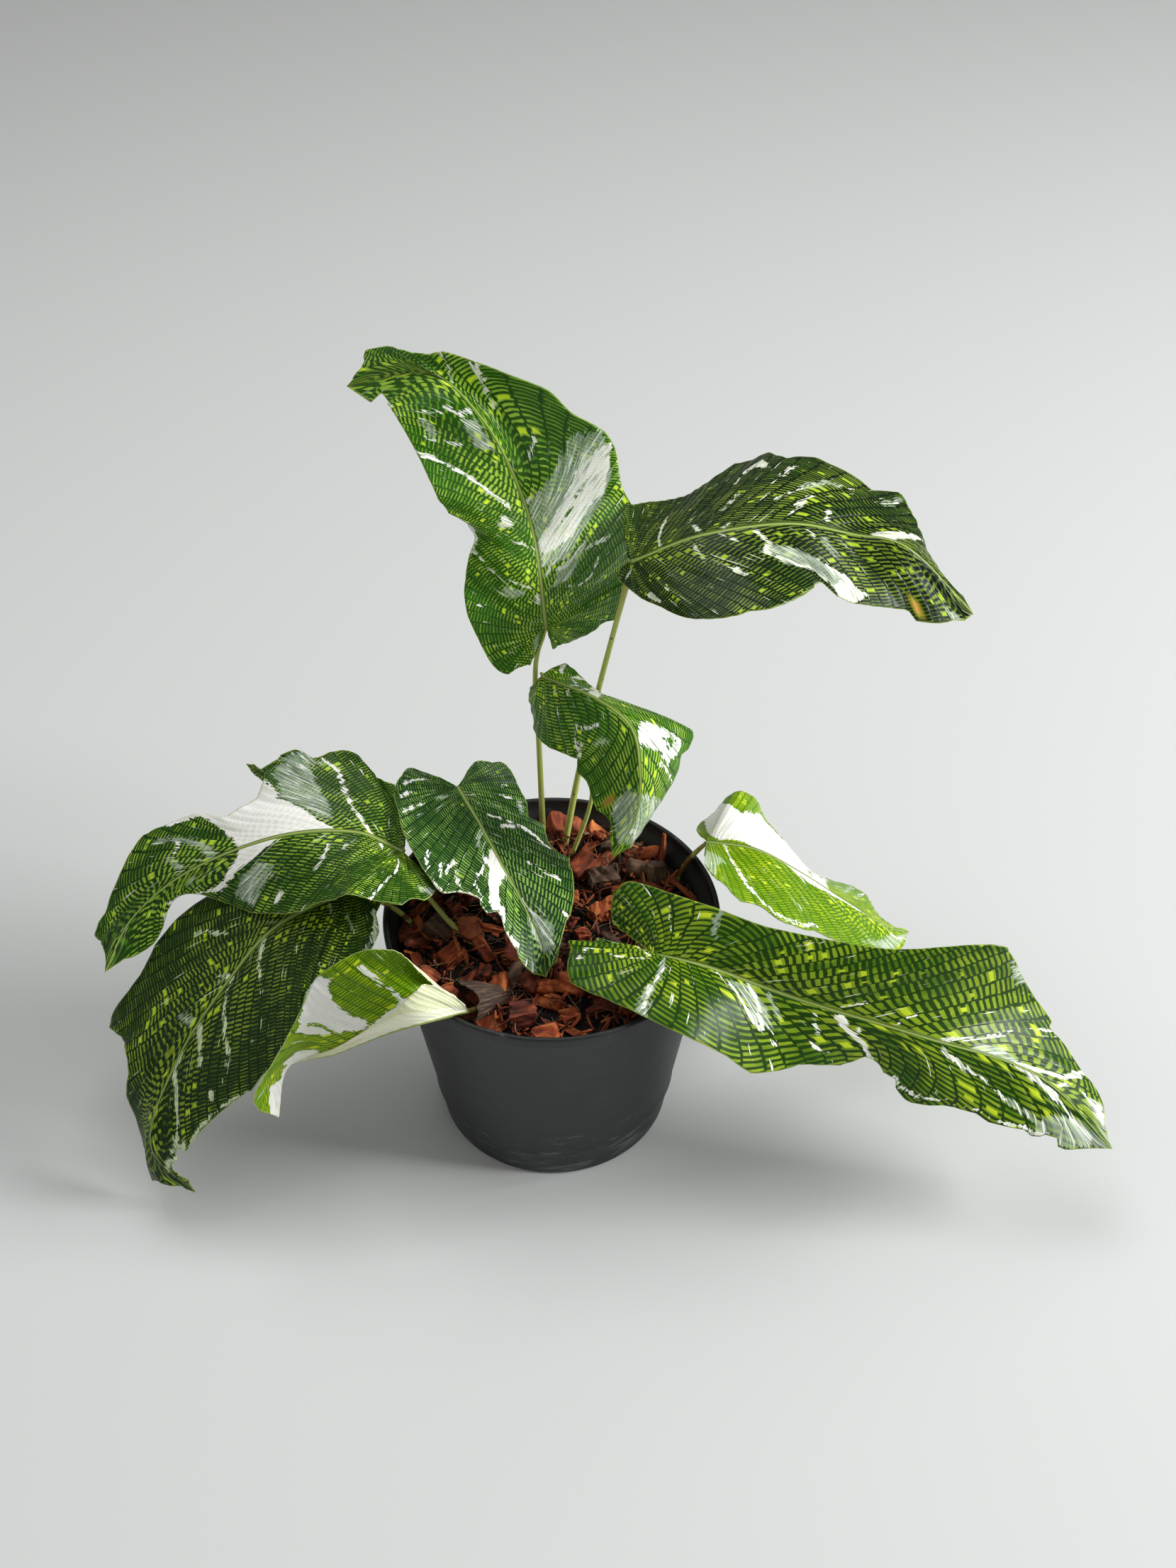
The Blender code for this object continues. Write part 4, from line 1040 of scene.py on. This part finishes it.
def make_pot(material):
    """Moulded pot, turned with a fine rim band and foot, then pierced for drainage."""
    band = POT_HEIGHT - RIM_DEPTH
    inner_floor = wall_radius(FLOOR) - WALL
    bend = [(math.sin(a), 1 - math.cos(a)) for a in np.linspace(0, math.pi / 2, 6)]
    # inner floor and its bend, inner wall, and the crown of the rim
    profile = [(0.0, FLOOR)]
    profile += [(inner_floor - 2 * MM + 2 * MM * x, FLOOR + 2 * MM * y) for x, y in bend]
    profile += [(wall_radius(h) - WALL, h) for h in np.linspace(8 * MM, band - 1 * MM, 12)]
    profile += [(RIM_RADIUS - 2.8 * MM, band + 1.2 * MM), (RIM_RADIUS - 2.5 * MM, POT_HEIGHT - 1.2 * MM)]
    crown = [(math.cos(a), math.sin(a)) for a in np.linspace(math.pi, 0, 11)]
    profile += [(RIM_RADIUS - 1.3 * MM + 1.2 * MM * x, POT_HEIGHT - 1.2 * MM + 1.2 * MM * y)
                for x, y in crown]
    # outside of the rim band, wall, the faint step low on it, and the foot
    profile += [(RIM_RADIUS - 0.15 * MM, POT_HEIGHT - 2.0 * MM), (RIM_RADIUS - 0.35 * MM, band + 1.0 * MM),
                (RIM_RADIUS - 0.45 * MM, band + 0.35 * MM), (RIM_RADIUS - 0.8 * MM, band),
                (wall_radius(band) + 0.5 * MM, band - 0.05 * MM), (wall_radius(band), band - 0.5 * MM)]
    profile += [(wall_radius(h) + 0.02 * MM, h)
                for h in np.linspace(band - 4 * MM, FOOT_STEP_HEIGHT + 6 * MM, 14)]
    step = wall_radius(FOOT_STEP_HEIGHT)
    profile += [(step + FOOT_STEP * out, FOOT_STEP_HEIGHT + up * MM)
                for out, up in ((1, 1.6), (0.95, 0.6), (0.5, 0.1), (0, -0.4))]
    profile += [(wall_radius(h), h) for h in np.linspace(FOOT_STEP_HEIGHT - 3 * MM, 3.4 * MM, 5)]
    profile += [(BASE_RADIUS - 2.2 * MM + 2.6 * MM * math.cos(a), 2.4 * MM * (1 - math.sin(a)))
                for a in np.linspace(0, math.pi / 2, 8)]
    profile += [(0.0, 0.0)]
    mesh = bpy.data.meshes.new("nursery_pot_moulding")
    edges = [(i, i + 1) for i in range(len(profile) - 1)]
    mesh.from_pydata([(r, 0.0, z) for r, z in profile], edges, [])
    pot = bpy.data.objects.new("nursery_pot_moulding", mesh)
    bpy.context.scene.collection.objects.link(pot)
    turn = pot.modifiers.new("turned", "SCREW")
    turn.steps = turn.render_steps = 144
    turn.use_merge_vertices = True
    turn.merge_threshold = 0.01 * MM
    turn.use_normal_calculate = True
    cutters = []
    for i in range(DRAIN_HOLES):
        angle = math.tau * i / DRAIN_HOLES
        bpy.ops.mesh.primitive_cylinder_add(
            vertices=32, radius=DRAIN_RADIUS, depth=4 * FLOOR,
            location=(DRAIN_CIRCLE * math.cos(angle), DRAIN_CIRCLE * math.sin(angle), FLOOR / 2))
        cutters.append(bpy.context.object)
        pierce = pot.modifiers.new("drain", "BOOLEAN")
        pierce.operation = "DIFFERENCE"
        pierce.object = cutters[-1]
    made = bpy.data.meshes.new_from_object(pot.evaluated_get(bpy.context.evaluated_depsgraph_get()))
    for cutter in cutters:
        bpy.data.objects.remove(cutter)
    bpy.data.objects.remove(pot)
    made.name = "nursery_pot_moulding"
    made.shade_smooth()
    made.set_sharp_from_angle(angle=math.radians(50))
    made.materials.clear()
    add_piece("nursery_pot_moulding", made, material, "nursery_pot", slot="black_polypropylene")


def pot_material():
    """Recycled polypropylene, moulded: charcoal, its dull blasted skin scuffed pale at the foot and rim."""
    material, add, skin = new_material("moulded_polypropylene")
    place = add("TexCoord").outputs["Object"]
    height = add("SeparateXYZ", [place]).outputs["Z"]
    cloud = add("TexNoise", {"Vector": place, "Scale": 24.0, "Detail": 5.0, "Roughness": 0.6})
    grain = add("TexNoise", {"Vector": place, "Scale": 1500.0, "Detail": 2.0})
    rings_at = add("VectorMath MULTIPLY", [place, (12, 12, 900)])
    rings = add("TexNoise", {"Vector": rings_at, "Scale": 1.0, "Detail": 3.0})
    base = add("Mix", {0: cloud, 6: "#141618", 7: "#232628"}, data_type="RGBA")
    rim_foot = POT_HEIGHT - RIM_DEPTH
    band = add("MapRange", [height, rim_foot, rim_foot + 2 * MM, 0.0, 0.7])
    base = add("Mix", {0: band, 6: base, 7: "#0a0b0c"}, data_type="RGBA")
    low = add("MapRange", [height, 0.045, 0.0, 0.0, 0.16])
    rim = add("MapRange", [height, 0.1135, 0.1155, 0.0, 0.06])
    wear = add("Math ADD", [low, rim])
    marks_at = add("VectorMath MULTIPLY", [place, (60, 60, 420)])
    marks = add("TexNoise", {"Vector": marks_at, "Scale": 1.0, "Detail": 6.0, "Roughness": 0.7})
    marks = add("Math ADD", [marks, wear])
    scuff = add("MapRange", [marks, 0.64, 0.74, 0.0, 0.55])
    colour = add("Mix", {0: scuff, 6: base, 7: "#6a6e70"}, data_type="RGBA")
    dull = add("MapRange", [cloud, 0.3, 0.7, 0.46, 0.6])
    dull = add("Math MULTIPLY_ADD", [scuff, 0.25, dull])
    relief = add("Math MULTIPLY_ADD", [rings, 0.6, grain])
    bump = add("Bump", {"Height": relief, "Strength": 0.25, "Distance": 0.06 * MM})
    feed(skin, {"Base Color": colour, "Roughness": dull, "Normal": bump, "IOR": 1.49})
    return material


# Mix and husk

def make_mix(material):
    """Top of the mix, lumpy with fines, over the plain fill that shows through the drain holes."""
    rings, spokes, steps = 90, 200, 8
    radius = wall_radius(MIX_TOP) - WALL - GAP
    points = [(0.0, 0.0, MIX_TOP)]
    for i in range(1, rings + 1):
        r = radius * i / rings
        for j in range(spokes):
            angle = math.tau * j / spokes
            points.append((r * math.cos(angle), r * math.sin(angle), MIX_TOP))
    points = np.array(points)
    flat = np.hypot(points[:, 0], points[:, 1])
    lumps = rough(points, 9 * MM, 3) * 1.6 * MM + rough(points, 3.6 * MM, 4) * 1.4 * MM
    lumps += rough(points, 1.7 * MM, 5) * 0.7 * MM
    points[:, 2] += (lumps + 0.4 * MM) * ease(0, 2 * MM, radius - flat) - 0.6 * MM
    low = FLOOR + GAP
    below = []
    for height in np.linspace(MIX_TOP - 3 * MM, low, steps):
        r = wall_radius(height) - WALL - GAP - (1.5 * MM if height < low + 2 * MM else 0)
        below += [(r * math.cos(math.tau * j / spokes), r * math.sin(math.tau * j / spokes), height)
                  for j in range(spokes)]
    points = np.concatenate([points, below, [(0.0, 0.0, low)]])
    start = 1 + (rings - 1 + steps) * spokes
    faces = [(0, 1 + j, 1 + (j + 1) % spokes) for j in range(spokes)]
    faces += [quad for first in range(1, start, spokes) for quad in ring_quads(first, spokes, outward=True)]
    faces += [(start + j, len(points) - 1, start + (j + 1) % spokes) for j in range(spokes)]
    mesh = mesh_from("bark_fines_fill", points, faces)
    add_piece("bark_fines_fill", mesh, material, "potting_mix", slot="dark_bark_mix")


def tear(points, normals, run, depth, seed):
    """Moves the skin of a husk piece: ridged along its fibres, lumpy, split here and there. Returns the
    points and how high each ends up on its ridge."""
    centre = points.mean(axis=0)
    spread = points - centre
    length = spread @ run
    across = spread - length[:, None] * run
    drawn = across + length[:, None] * run * 0.14
    ridges = rough(drawn, 1.5 * MM, seed) + 0.5 * rough(drawn, 0.7 * MM, seed + 1)
    lumps = rough(spread, 4.0 * MM, seed + 2)
    splits = np.clip(rough(drawn * 0.9, 2.4 * MM, seed + 3) - 0.15, 0, 1)
    end_on = np.abs(normals @ run)
    frayed = np.abs(rough(across + length[:, None] * run * 0.05, 0.8 * MM, seed + 4))
    shift = -depth * (0.3 * (1 - ridges) + 0.33 * (1 - lumps) + 1.6 * splits + 1.5 * end_on * frayed)
    # how high each point ends up on its ridge; the husk's colour reads it as painted light on the high parts
    # and painted shade in splits and on cut ends
    height = np.clip(0.5 + 0.35 * ridges - 0.8 * splits - 0.25 * end_on, 0, 1)
    return points + normals * shift[:, None], height


def shredded(source, fibre, seed, voxel, depth):
    """A husk piece: the plain solid, remeshed, torn along its fibres and pitted where they are cut across."""
    mesh = bpy.data.meshes.new(source.name + "_torn")
    sides = [tuple(p.vertices) for p in source.data.polygons]
    mesh.from_pydata(all_points(source.data, "co").tolist(), [], sides)
    holder = bpy.data.objects.new("holder", mesh)
    bpy.context.scene.collection.objects.link(holder)
    remesh = holder.modifiers.new("even", "REMESH")
    remesh.mode = "VOXEL"
    remesh.voxel_size = voxel
    made = bpy.data.meshes.new_from_object(holder.evaluated_get(bpy.context.evaluated_depsgraph_get()))
    bpy.data.objects.remove(holder)
    run = unit(np.array(fibre))
    points, ridge = tear(all_points(made, "co"), all_points(made, "normal"), run, depth, seed)
    made.vertices.foreach_set("co", points.ravel())
    give_number(made, "ridge", ridge)
    give_number(made, "piece", np.full(len(points), (seed * 0.377) % 1))
    made.shade_smooth()
    made.name = source.name + "_torn"
    made.materials.clear()
    return made


def pile(heap, points, faces):
    """Adds a loose piece to a heap, a pair of lists of points and faces."""
    start = sum(len(p) for p in heap[0])
    heap[0].append(points)
    heap[1].extend([i + start for i in f] for f in faces)


def block_grid(cuts):
    """Points and faces of a cube from -1 to 1, cut evenly."""
    work = bmesh.new()
    bmesh.ops.create_cube(work, size=2.0)
    bmesh.ops.subdivide_edges(work, edges=work.edges, cuts=cuts, use_grid_fill=True)
    work.verts.index_update()
    points = np.array([v.co for v in work.verts])
    faces = [[v.index for v in f.verts] for f in work.faces]
    work.free()
    return points, faces


def husk_bit(rng, grid, size, seed, depth):
    """One loose piece of husk about its own centre: a rounded, skewed block, torn along its length."""
    points = grid / (np.sum(np.abs(grid) ** 5, axis=1)[:, None] ** 0.2)
    taper = 1 + points[:, :1] * rng.uniform(-0.25, 0.25)
    points = np.concatenate([points[:, :1] * size[0], points[:, 1:2] * size[1] * taper,
                             points[:, 2:] * size[2] * (2 - taper)], axis=1) * 0.5
    points[:, 1] += points[:, 0] * rng.uniform(-0.3, 0.3)
    points[:, 2] += points[:, 0] ** 2 / size[0] * rng.uniform(-0.5, 0.5)
    normals = unit(points / np.array(size) ** 2 * size[1])
    return tear(points, normals, np.array([1.0, 0.0, 0.0]), depth, seed)


def turn_of(rng, tipped):
    """A random turn of a piece that has come to rest, tipped by about as many radians as given."""
    spin, tip, roll = rng.uniform(0, math.tau), rng.gauss(0, tipped), rng.gauss(0, tipped)
    spun = Matrix.Rotation(spin, 3, "Z")
    return np.array(spun @ Matrix.Rotation(tip, 3, "Y") @ Matrix.Rotation(roll, 3, "X"))


# Loose husk by kind: the draw below which a piece is of it, and its length, width and height in millimetres
HUSK_KINDS = {"chunk": (0.45, ((12, 16), (10, 13), (7, 10))),
              "shard": (0.8, ((14, 24), (4.5, 8), (3, 5.5))),
              "flake": (1.0, ((10, 15), (7, 11), (2, 3.5)))}
CRUMB = ((3.5, 9.5), (0.6, 2.0), (0.5, 1.3))
HUSK_TRIES = 4200              # random spots that are tried for a loose piece
HUSK_SPACING = 5.6 * MM        # the least distance from a piece to the rim of the next
HUSK_TURNS = (0, 2, 1, 1, 0)   # which husk the big chips are cut from, in turn
CRUMBS = 750
FIBRES = 330
FIBRE_BENDS = 5


def somewhere(rng, reach):
    """A random spot within a circle round the middle of the pot."""
    angle, out = rng.uniform(0, math.tau), math.sqrt(rng.random()) * reach
    return out * math.cos(angle), out * math.sin(angle)


def scatter_husk(materials, chip_spots):
    """The loose husk between the big chips: chunks, shards, flakes and crumbs, bedded in the mix."""
    rng = random.Random(11)
    reach = wall_radius(MIX_TOP) - WALL - GAP
    places = list(chip_spots)
    heaps = [([], [], [], []) for _ in materials]
    grids = {cuts: block_grid(cuts) for cuts in (1, 7)}

    def drop(cuts, size, at, tipped, depth, seed):
        # one piece in seven is grey, and the rest are rusty or orange alike
        heap = heaps[rng.randrange(7) // 3]
        grid, faces = grids[cuts]
        points, ridge = husk_bit(rng, grid, size, seed, depth)
        points = points @ turn_of(rng, tipped).T + at
        edge = np.hypot(points[:, 0], points[:, 1])
        fit = np.minimum(1, (wall_radius(points[:, 2]) - WALL - GAP) / np.maximum(edge, MM))
        points[:, :2] *= fit[:, None]
        pile(heap, points, faces)
        heap[2].append(ridge)
        heap[3].append(np.full(len(points), rng.random()))

    for attempt in range(HUSK_TRIES):
        x, y = somewhere(rng, reach - 2.5 * MM)
        if all((x - px) ** 2 + (y - py) ** 2 > (HUSK_SPACING + pr) ** 2 for px, py, pr in places):
            kind = rng.random()
            ranges = next(ranges for below, ranges in HUSK_KINDS.values() if kind < below)
            size = [rng.uniform(*span) * MM for span in ranges]
            places.append((x, y, rng.uniform(1.0, 3.0) * MM))
            at = np.array([x, y, MIX_TOP + size[2] * 0.35 + rng.uniform(-0.5, 2.6) * MM])
            drop(7, size, at, 0.35, rng.uniform(1.1, 1.7) * MM, 1000 + 11 * attempt)
    for crumb in range(CRUMBS):
        x, y = somewhere(rng, reach - 1.5 * MM)
        size = [rng.uniform(*span) * MM for span in CRUMB]
        at = np.array([x, y, MIX_TOP + rng.uniform(0.6, 7.5) * MM])
        drop(1, size, at, 0.6, 0.15 * MM, 9000 + crumb)
    for material, (points, faces, ridges, pieces) in zip(materials, heaps):
        name = "loose_husk_" + material.name.split("_")[-1]
        mesh = mesh_from(name, np.concatenate(points), faces)
        give_number(mesh, "ridge", np.concatenate(ridges))
        give_number(mesh, "piece", np.concatenate(pieces))
        add_piece(name, mesh, material, slot="coir_husk")


def scatter_fibres(material):
    """Loose coir fibres: fine springy strands that lie over the husk and stick out of it."""
    rng = random.Random(5)
    reach = wall_radius(MIX_TOP) - WALL - 3 * MM
    heap = ([], [])
    for _ in range(FIBRES):
        at = np.array([*somewhere(rng, reach), MIX_TOP + rng.uniform(2.5, 7.0) * MM])
        heading, rise = rng.uniform(0, math.tau), rng.uniform(-0.2, 0.45)
        length, radius = rng.uniform(6, 24) * MM, rng.uniform(0.09, 0.19) * MM
        bend = rng.gauss(0, 0.22)
        keys = [at]
        for _ in range(FIBRE_BENDS):
            heading += bend + rng.gauss(0, 0.15)
            rise -= rng.uniform(0.02, 0.2)
            way = np.array([math.cos(heading), math.sin(heading), rise])
            keys.append(keys[-1] + length / FIBRE_BENDS * way)
        keys = np.array(keys)
        edge = np.hypot(keys[:, 0], keys[:, 1])
        keys[:, :2] *= np.minimum(1, reach / np.maximum(edge, MM))[:, None]
        keys[:, 2] = np.clip(keys[:, 2], MIX_TOP + 1 * MM, POT_HEIGHT - 1 * MM)
        pile(heap, *tube(keys, lambda share: radius * (1.05 - 0.7 * share), rings=9, sides=4))
    mesh = mesh_from("loose_coir_fibres", np.concatenate(heap[0]), heap[1])
    add_piece("loose_coir_fibres", mesh, material, slot="coir_husk")


def fibre_material():
    """Coir fibre, pulled loose and dried: hard, half dull and tan, lighter and darker from place to place."""
    material, add, skin = new_material("coir_fibre")
    place = add("TexCoord").outputs["Object"]
    tint = add("TexNoise", {"Vector": place, "Scale": 90.0, "Detail": 2.0})
    colour = add("ValToRGB", [tint], stops=[(0.35, "#5a3520"), (0.65, "#b58a5e")])
    feed(skin, {"Base Color": colour, "Roughness": 0.6})
    return material


def husk_material(name, dark, middle, light):
    """Coir husk, sawn and dried: corky and rusty, with painted light on its loose ridges and painted shade
    darkening the pits between.
    """
    material, add, skin = new_material(name)
    place = add("TexCoord").outputs["Object"]
    ridge, piece = (add("Attribute", attribute_name=n).outputs["Fac"] for n in ("ridge", "piece"))
    speck = add("TexNoise", {"Vector": place, "Scale": 900.0, "Detail": 4.0, "Roughness": 0.7})
    patch = add("TexNoise", {"Vector": place, "Scale": 120.0, "Detail": 3.0})
    # the ridge height paints light on the raised fibres and shade in the pits, over random patches, specks and
    # pieces of tone
    level = add("Math MULTIPLY_ADD", [patch, 0.9, ridge])
    level = add("Math MULTIPLY_ADD", [speck, 0.7, level])
    level = add("Math MULTIPLY_ADD", [piece, 0.45, level])
    level = add("MapRange", [level, 0.75, 2.15])
    colour = add("ValToRGB", [level], stops=[(0.0, dark), (1.0, light), (0.5, middle)])
    bump = add("Bump", {"Height": speck, "Strength": 0.7, "Distance": 0.3 * MM})
    feed(skin, {"Base Color": colour, "Roughness": 0.85, "Normal": bump})
    return material


def fines_material():
    """Composted bark fines: nearly black and damp, with brown crumbs."""
    material, add, skin = new_material("composted_bark_fines")
    place = add("TexCoord").outputs["Object"]
    crumbs = add("TexVoronoi", {"Vector": place, "Scale": 420.0})
    speck = add("TexNoise", {"Vector": place, "Scale": 800.0, "Detail": 5.0, "Roughness": 0.7})
    tint = add("SeparateColor", [crumbs.outputs["Color"]]).outputs[0]
    level = add("Math MULTIPLY", [tint, speck])
    colour = add("ValToRGB", [level], stops=[(0.0, "#050302"), (0.75, "#5a3420"), (0.4, "#180d08")])
    relief = add("Math MULTIPLY_ADD", [crumbs.outputs["Distance"], -0.8, speck])
    bump = add("Bump", {"Height": relief, "Strength": 0.9, "Distance": 0.8 * MM})
    feed(skin, {"Base Color": colour, "Roughness": 0.9, "Normal": bump})
    return material


def sheath_material():
    """Dead leaf sheath: dry and papery, ribbed lengthwise, grey-brown with darker ribs."""
    material, add, skin = new_material("dry_papery_sheath")
    rib_map = add("UVMap", uv_map="ribs")
    stretch = add("VectorMath MULTIPLY", [rib_map, (46.0, 3.0, 0)])
    ribs = add("TexNoise", {"Vector": stretch, "Scale": 1.0, "Detail": 4.0, "Roughness": 0.65},
               noise_dimensions="2D")
    colour = add("ValToRGB", [ribs], stops=[(0.3, "#1a100a"), (0.72, "#6b513b"), (0.5, "#3c2a1e")])
    bump = add("Bump", {"Height": ribs, "Strength": 0.7, "Distance": 0.3 * MM})
    feed(skin, {"Base Color": colour, "Roughness": 0.75, "Normal": bump})
    return material


BRACT_POINT = np.array((-17, -38, 109.7)) * MM
BRACT_MOUTH = np.array((-38, -53, 120)) * MM
BRACT_RADII = (1.6 * MM, 9.5 * MM)     # at its point and at its mouth
BRACT_OPEN = math.radians(110)         # of the full turn that it leaves open
BRACT_THICK = 0.45 * MM


def make_bract(material):
    """The curled sheath round the foot of the young leaf, ribbed and torn at its mouth."""
    axis = BRACT_MOUTH - BRACT_POINT
    turn = np.array(Vector(axis).to_track_quat("Z", "Y").to_matrix())
    rows, columns = 40, 72
    share = np.linspace(0, 1, rows)[:, None]
    across = np.linspace(-1, 1, columns)[None, :]
    radius = BRACT_RADII[0] + (BRACT_RADII[1] - BRACT_RADII[0]) * share ** 0.8
    angle = across * (math.pi - BRACT_OPEN / 2) + math.pi / 2
    ribs = 0.22 * MM * np.cos(across * 42) * ease(0, 0.2, share)
    spots = [across * 12 * MM + 0 * share, share * 24 * MM + 0 * across, 0 * across * share]
    spots = np.stack(spots, axis=-1)
    crumple = rough(spots, 5 * MM, 21) * 0.7 * MM * share
    reach = share * (1 - 0.22 * across ** 2) + 0.06 * share * np.sin(5 * across)
    reach = reach + share ** 4 * 0.05 * rough(spots * (1, 0, 0), 1.6 * MM, 22)
    radius = radius + ribs + crumple
    ring = np.stack([radius * np.cos(angle), radius * np.sin(angle), 0 * angle * share], axis=-1)
    middle = BRACT_POINT + axis * reach[..., None] + ring @ turn.T
    normal = unit(np.cross(np.gradient(middle, axis=1), np.gradient(middle, axis=0)))
    points = np.concatenate([(middle + normal * BRACT_THICK / 2).reshape(-1, 3),
                             (middle - normal * BRACT_THICK / 2).reshape(-1, 3)])
    below, last = rows * columns, (rows - 1) * columns
    faces = sheet_quads(rows, columns)
    for j in range(columns - 1):
        faces.append((j, j + 1, j + 1 + below, j + below))
        faces.append((last + j + below, last + j + 1 + below, last + j + 1, last + j))
    mesh = mesh_from("papery_bract_fold", points, faces)
    pairs = np.stack([(across * 0.5 + 0 * share).ravel(), (share + 0 * across).ravel()], axis=1)
    give_map(mesh, "ribs", np.concatenate([pairs, pairs]))
    face_outward(mesh)
    add_piece("papery_bract_fold", mesh, material, "papery_bract", slot="dry_sheath")


# Studio

def make_studio():
    """Pale matt floor, a large soft key from the right behind the plant, and a weak fill from the left."""
    bpy.ops.mesh.primitive_plane_add(size=30.0, location=(0, 0, 0))
    floor = bpy.context.object
    floor.name = "studio_floor"
    material, _, skin = new_material("pale_matt_floor")
    feed(skin, {"Base Color": "#cccecd", "Roughness": 0.85})
    floor.data.materials.append(material)
    for name, place, aim_height, size, power in (
            ("key", (2.1, -0.17, 1.3), 0.2, 0.95, 72.0),
            ("fill", (-1.1, -0.7, 1.0), 0.12, 1.2, 2.0),
            ("top", (-0.2, 0.4, 1.5), 0.1, 0.8, 7.5)):
        lamp = bpy.data.lights.new(name, "AREA")
        lamp.size = size
        lamp.energy = power
        holder = bpy.data.objects.new(name, lamp)
        holder.location = place
        aim = Vector((0, 0, aim_height)) - Vector(place)
        holder.rotation_euler = aim.to_track_quat("-Z", "Y").to_euler()
        bpy.context.scene.collection.objects.link(holder)
    world = bpy.data.worlds.new("soft_room")
    bpy.context.scene.world = world
    world.use_nodes = True
    feed(world.node_tree.nodes["Background"], {"Color": "#eeeeec", "Strength": 0.34})
    lens = bpy.data.cameras.new("camera")
    lens.lens = LENS
    lens.sensor_width = 36
    lens.clip_start = 0.01
    camera = bpy.data.objects.new("camera", lens)
    camera.location = EYE
    camera.rotation_euler = (math.pi / 2 - LOOK_DOWN, 0, 0)
    bpy.context.scene.collection.objects.link(camera)
    bpy.context.scene.camera = camera
    bpy.context.scene.view_settings.view_transform = "Standard"


# Leaf skins: the colours of the ground, its lighter patches, the dull, the usual and the glowing bars, and
# the underside. Then how rare glowing blocks are, how streaky the white is, and what isn't as on most skins.
SKINS = {
    # Brightened as painted light: the glow of light shining through the tall and arched leaves
    "bright": ("#1a4004 #386d0e #5a9020 #a5c844 #d6ee34 #4a6a33", 1.04, 0.7,
               dict(width=0.11, bar_mm=1.5)),
    # Darkened, with its white greyed, as painted shade on the low left leaf, over that leaf's own olive tone
    "olive": ("#0b1c01 #193403 #345809 #839d28 #b4cc2a #4a6a33", 1.07, 0.7,
              dict(white_part="#c8d2ae", bar_mm=1.35)),
    "ladder": ("#132d02 #284e06 #49700d #869f22 #bcd02c #4a6a33", 1.02, 0.6,
               dict(width=0.14, bar_mm=1.6)),
    # Darkened, with its white greyed, as painted shade on the high right leaf
    "shaded": ("#040f01 #0f2402 #375a0a #76902a #a6bf28 #4a6a33", 1.07, 0.7,
               dict(white_part="#e9eddc", bar_mm=1.45)),
    "deep": ("#112b02 #224606 #437212 #90b438 #b8d236 #46643a", 1.13, 0.15,
             dict(width=0.1, bar_mm=1.5)),
    "blue": ("#10290d #214617 #4b7a2c #86b052 #92b83c #46643a", 1.20, 0.3,
             dict(bar_mm=1.45)),
    "lime": ("#3a6e00 #678f00 #7c9e06 #a8c010 #cadc2e #8ea23c", 1.06, 0.1,
             dict(width=0.14, bar_mm=1.35)),
    "young": ("#3a6e00 #678f00 #7c9e06 #a8c010 #cadc2e #e6e8c6", 1.06, 0.1,
              dict(under_bar="#d6dcae", width=0.14, bar_mm=1.35)),
}


def main():
    make_studio()
    skins = {name: blade_material("leaf_skin_" + name, *colours.split(), rarity, streaky, **more)
             for name, (colours, rarity, streaky, more) in SKINS.items()}
    for seed, name in enumerate(LEAVES):
        make_blade(name, skins, seed * 7 + 1)
    petiole = petiole_material()
    for name in LEAVES:
        make_stem(name, petiole)
    make_pot(pot_material())
    make_mix(fines_material())
    # the darkest colour of each husk is mostly the painted shade of its pits and splits
    husks = [husk_material("coir_husk_rust", "#0a0302", "#702c15", "#c06a3a"),
             husk_material("coir_husk_orange", "#0f0402", "#963f16", "#df8c4a"),
             husk_material("coir_husk_grey", "#0e0705", "#523a2a", "#937459")]
    spots = []       # where each big chip lies, and about half its width
    for i, node in enumerate(sorted(n for n in frame["nodes"] if n.startswith("husk_chip"))):
        source = bpy.data.objects[node]
        angle = i * 2.4
        fibre = (math.cos(angle), math.sin(angle), 0.25)
        mesh = shredded(source, fibre, seed=40 + 9 * i, voxel=0.5 * MM, depth=1.5 * MM)
        add_piece(node + "_torn", mesh, husks[HUSK_TURNS[i % 5]], node, slot="coir_husk")
        corners = all_points(source.data, "co")
        middle = corners.mean(axis=0)
        spots.append((middle[0], middle[1], 0.22 * np.ptp(corners[:, :2], axis=0).sum()))
    scatter_husk(husks, spots)
    scatter_fibres(fibre_material())
    mesh = shredded(bpy.data.objects["husk_shard"], (0.1, 0.1, 1), seed=501, voxel=0.4 * MM, depth=0.6 * MM)
    add_piece("husk_shard_torn", mesh, husks[0], "husk_shard", slot="coir_husk")
    mesh = shredded(bpy.data.objects["old_leaf_stub"], (0, 0, 1), seed=601, voxel=0.45 * MM, depth=0.7 * MM)
    add_piece("old_leaf_stub_torn", mesh, husks[2], "old_leaf_stub", slot="dry_sheath")
    make_bract(sheath_material())


main()
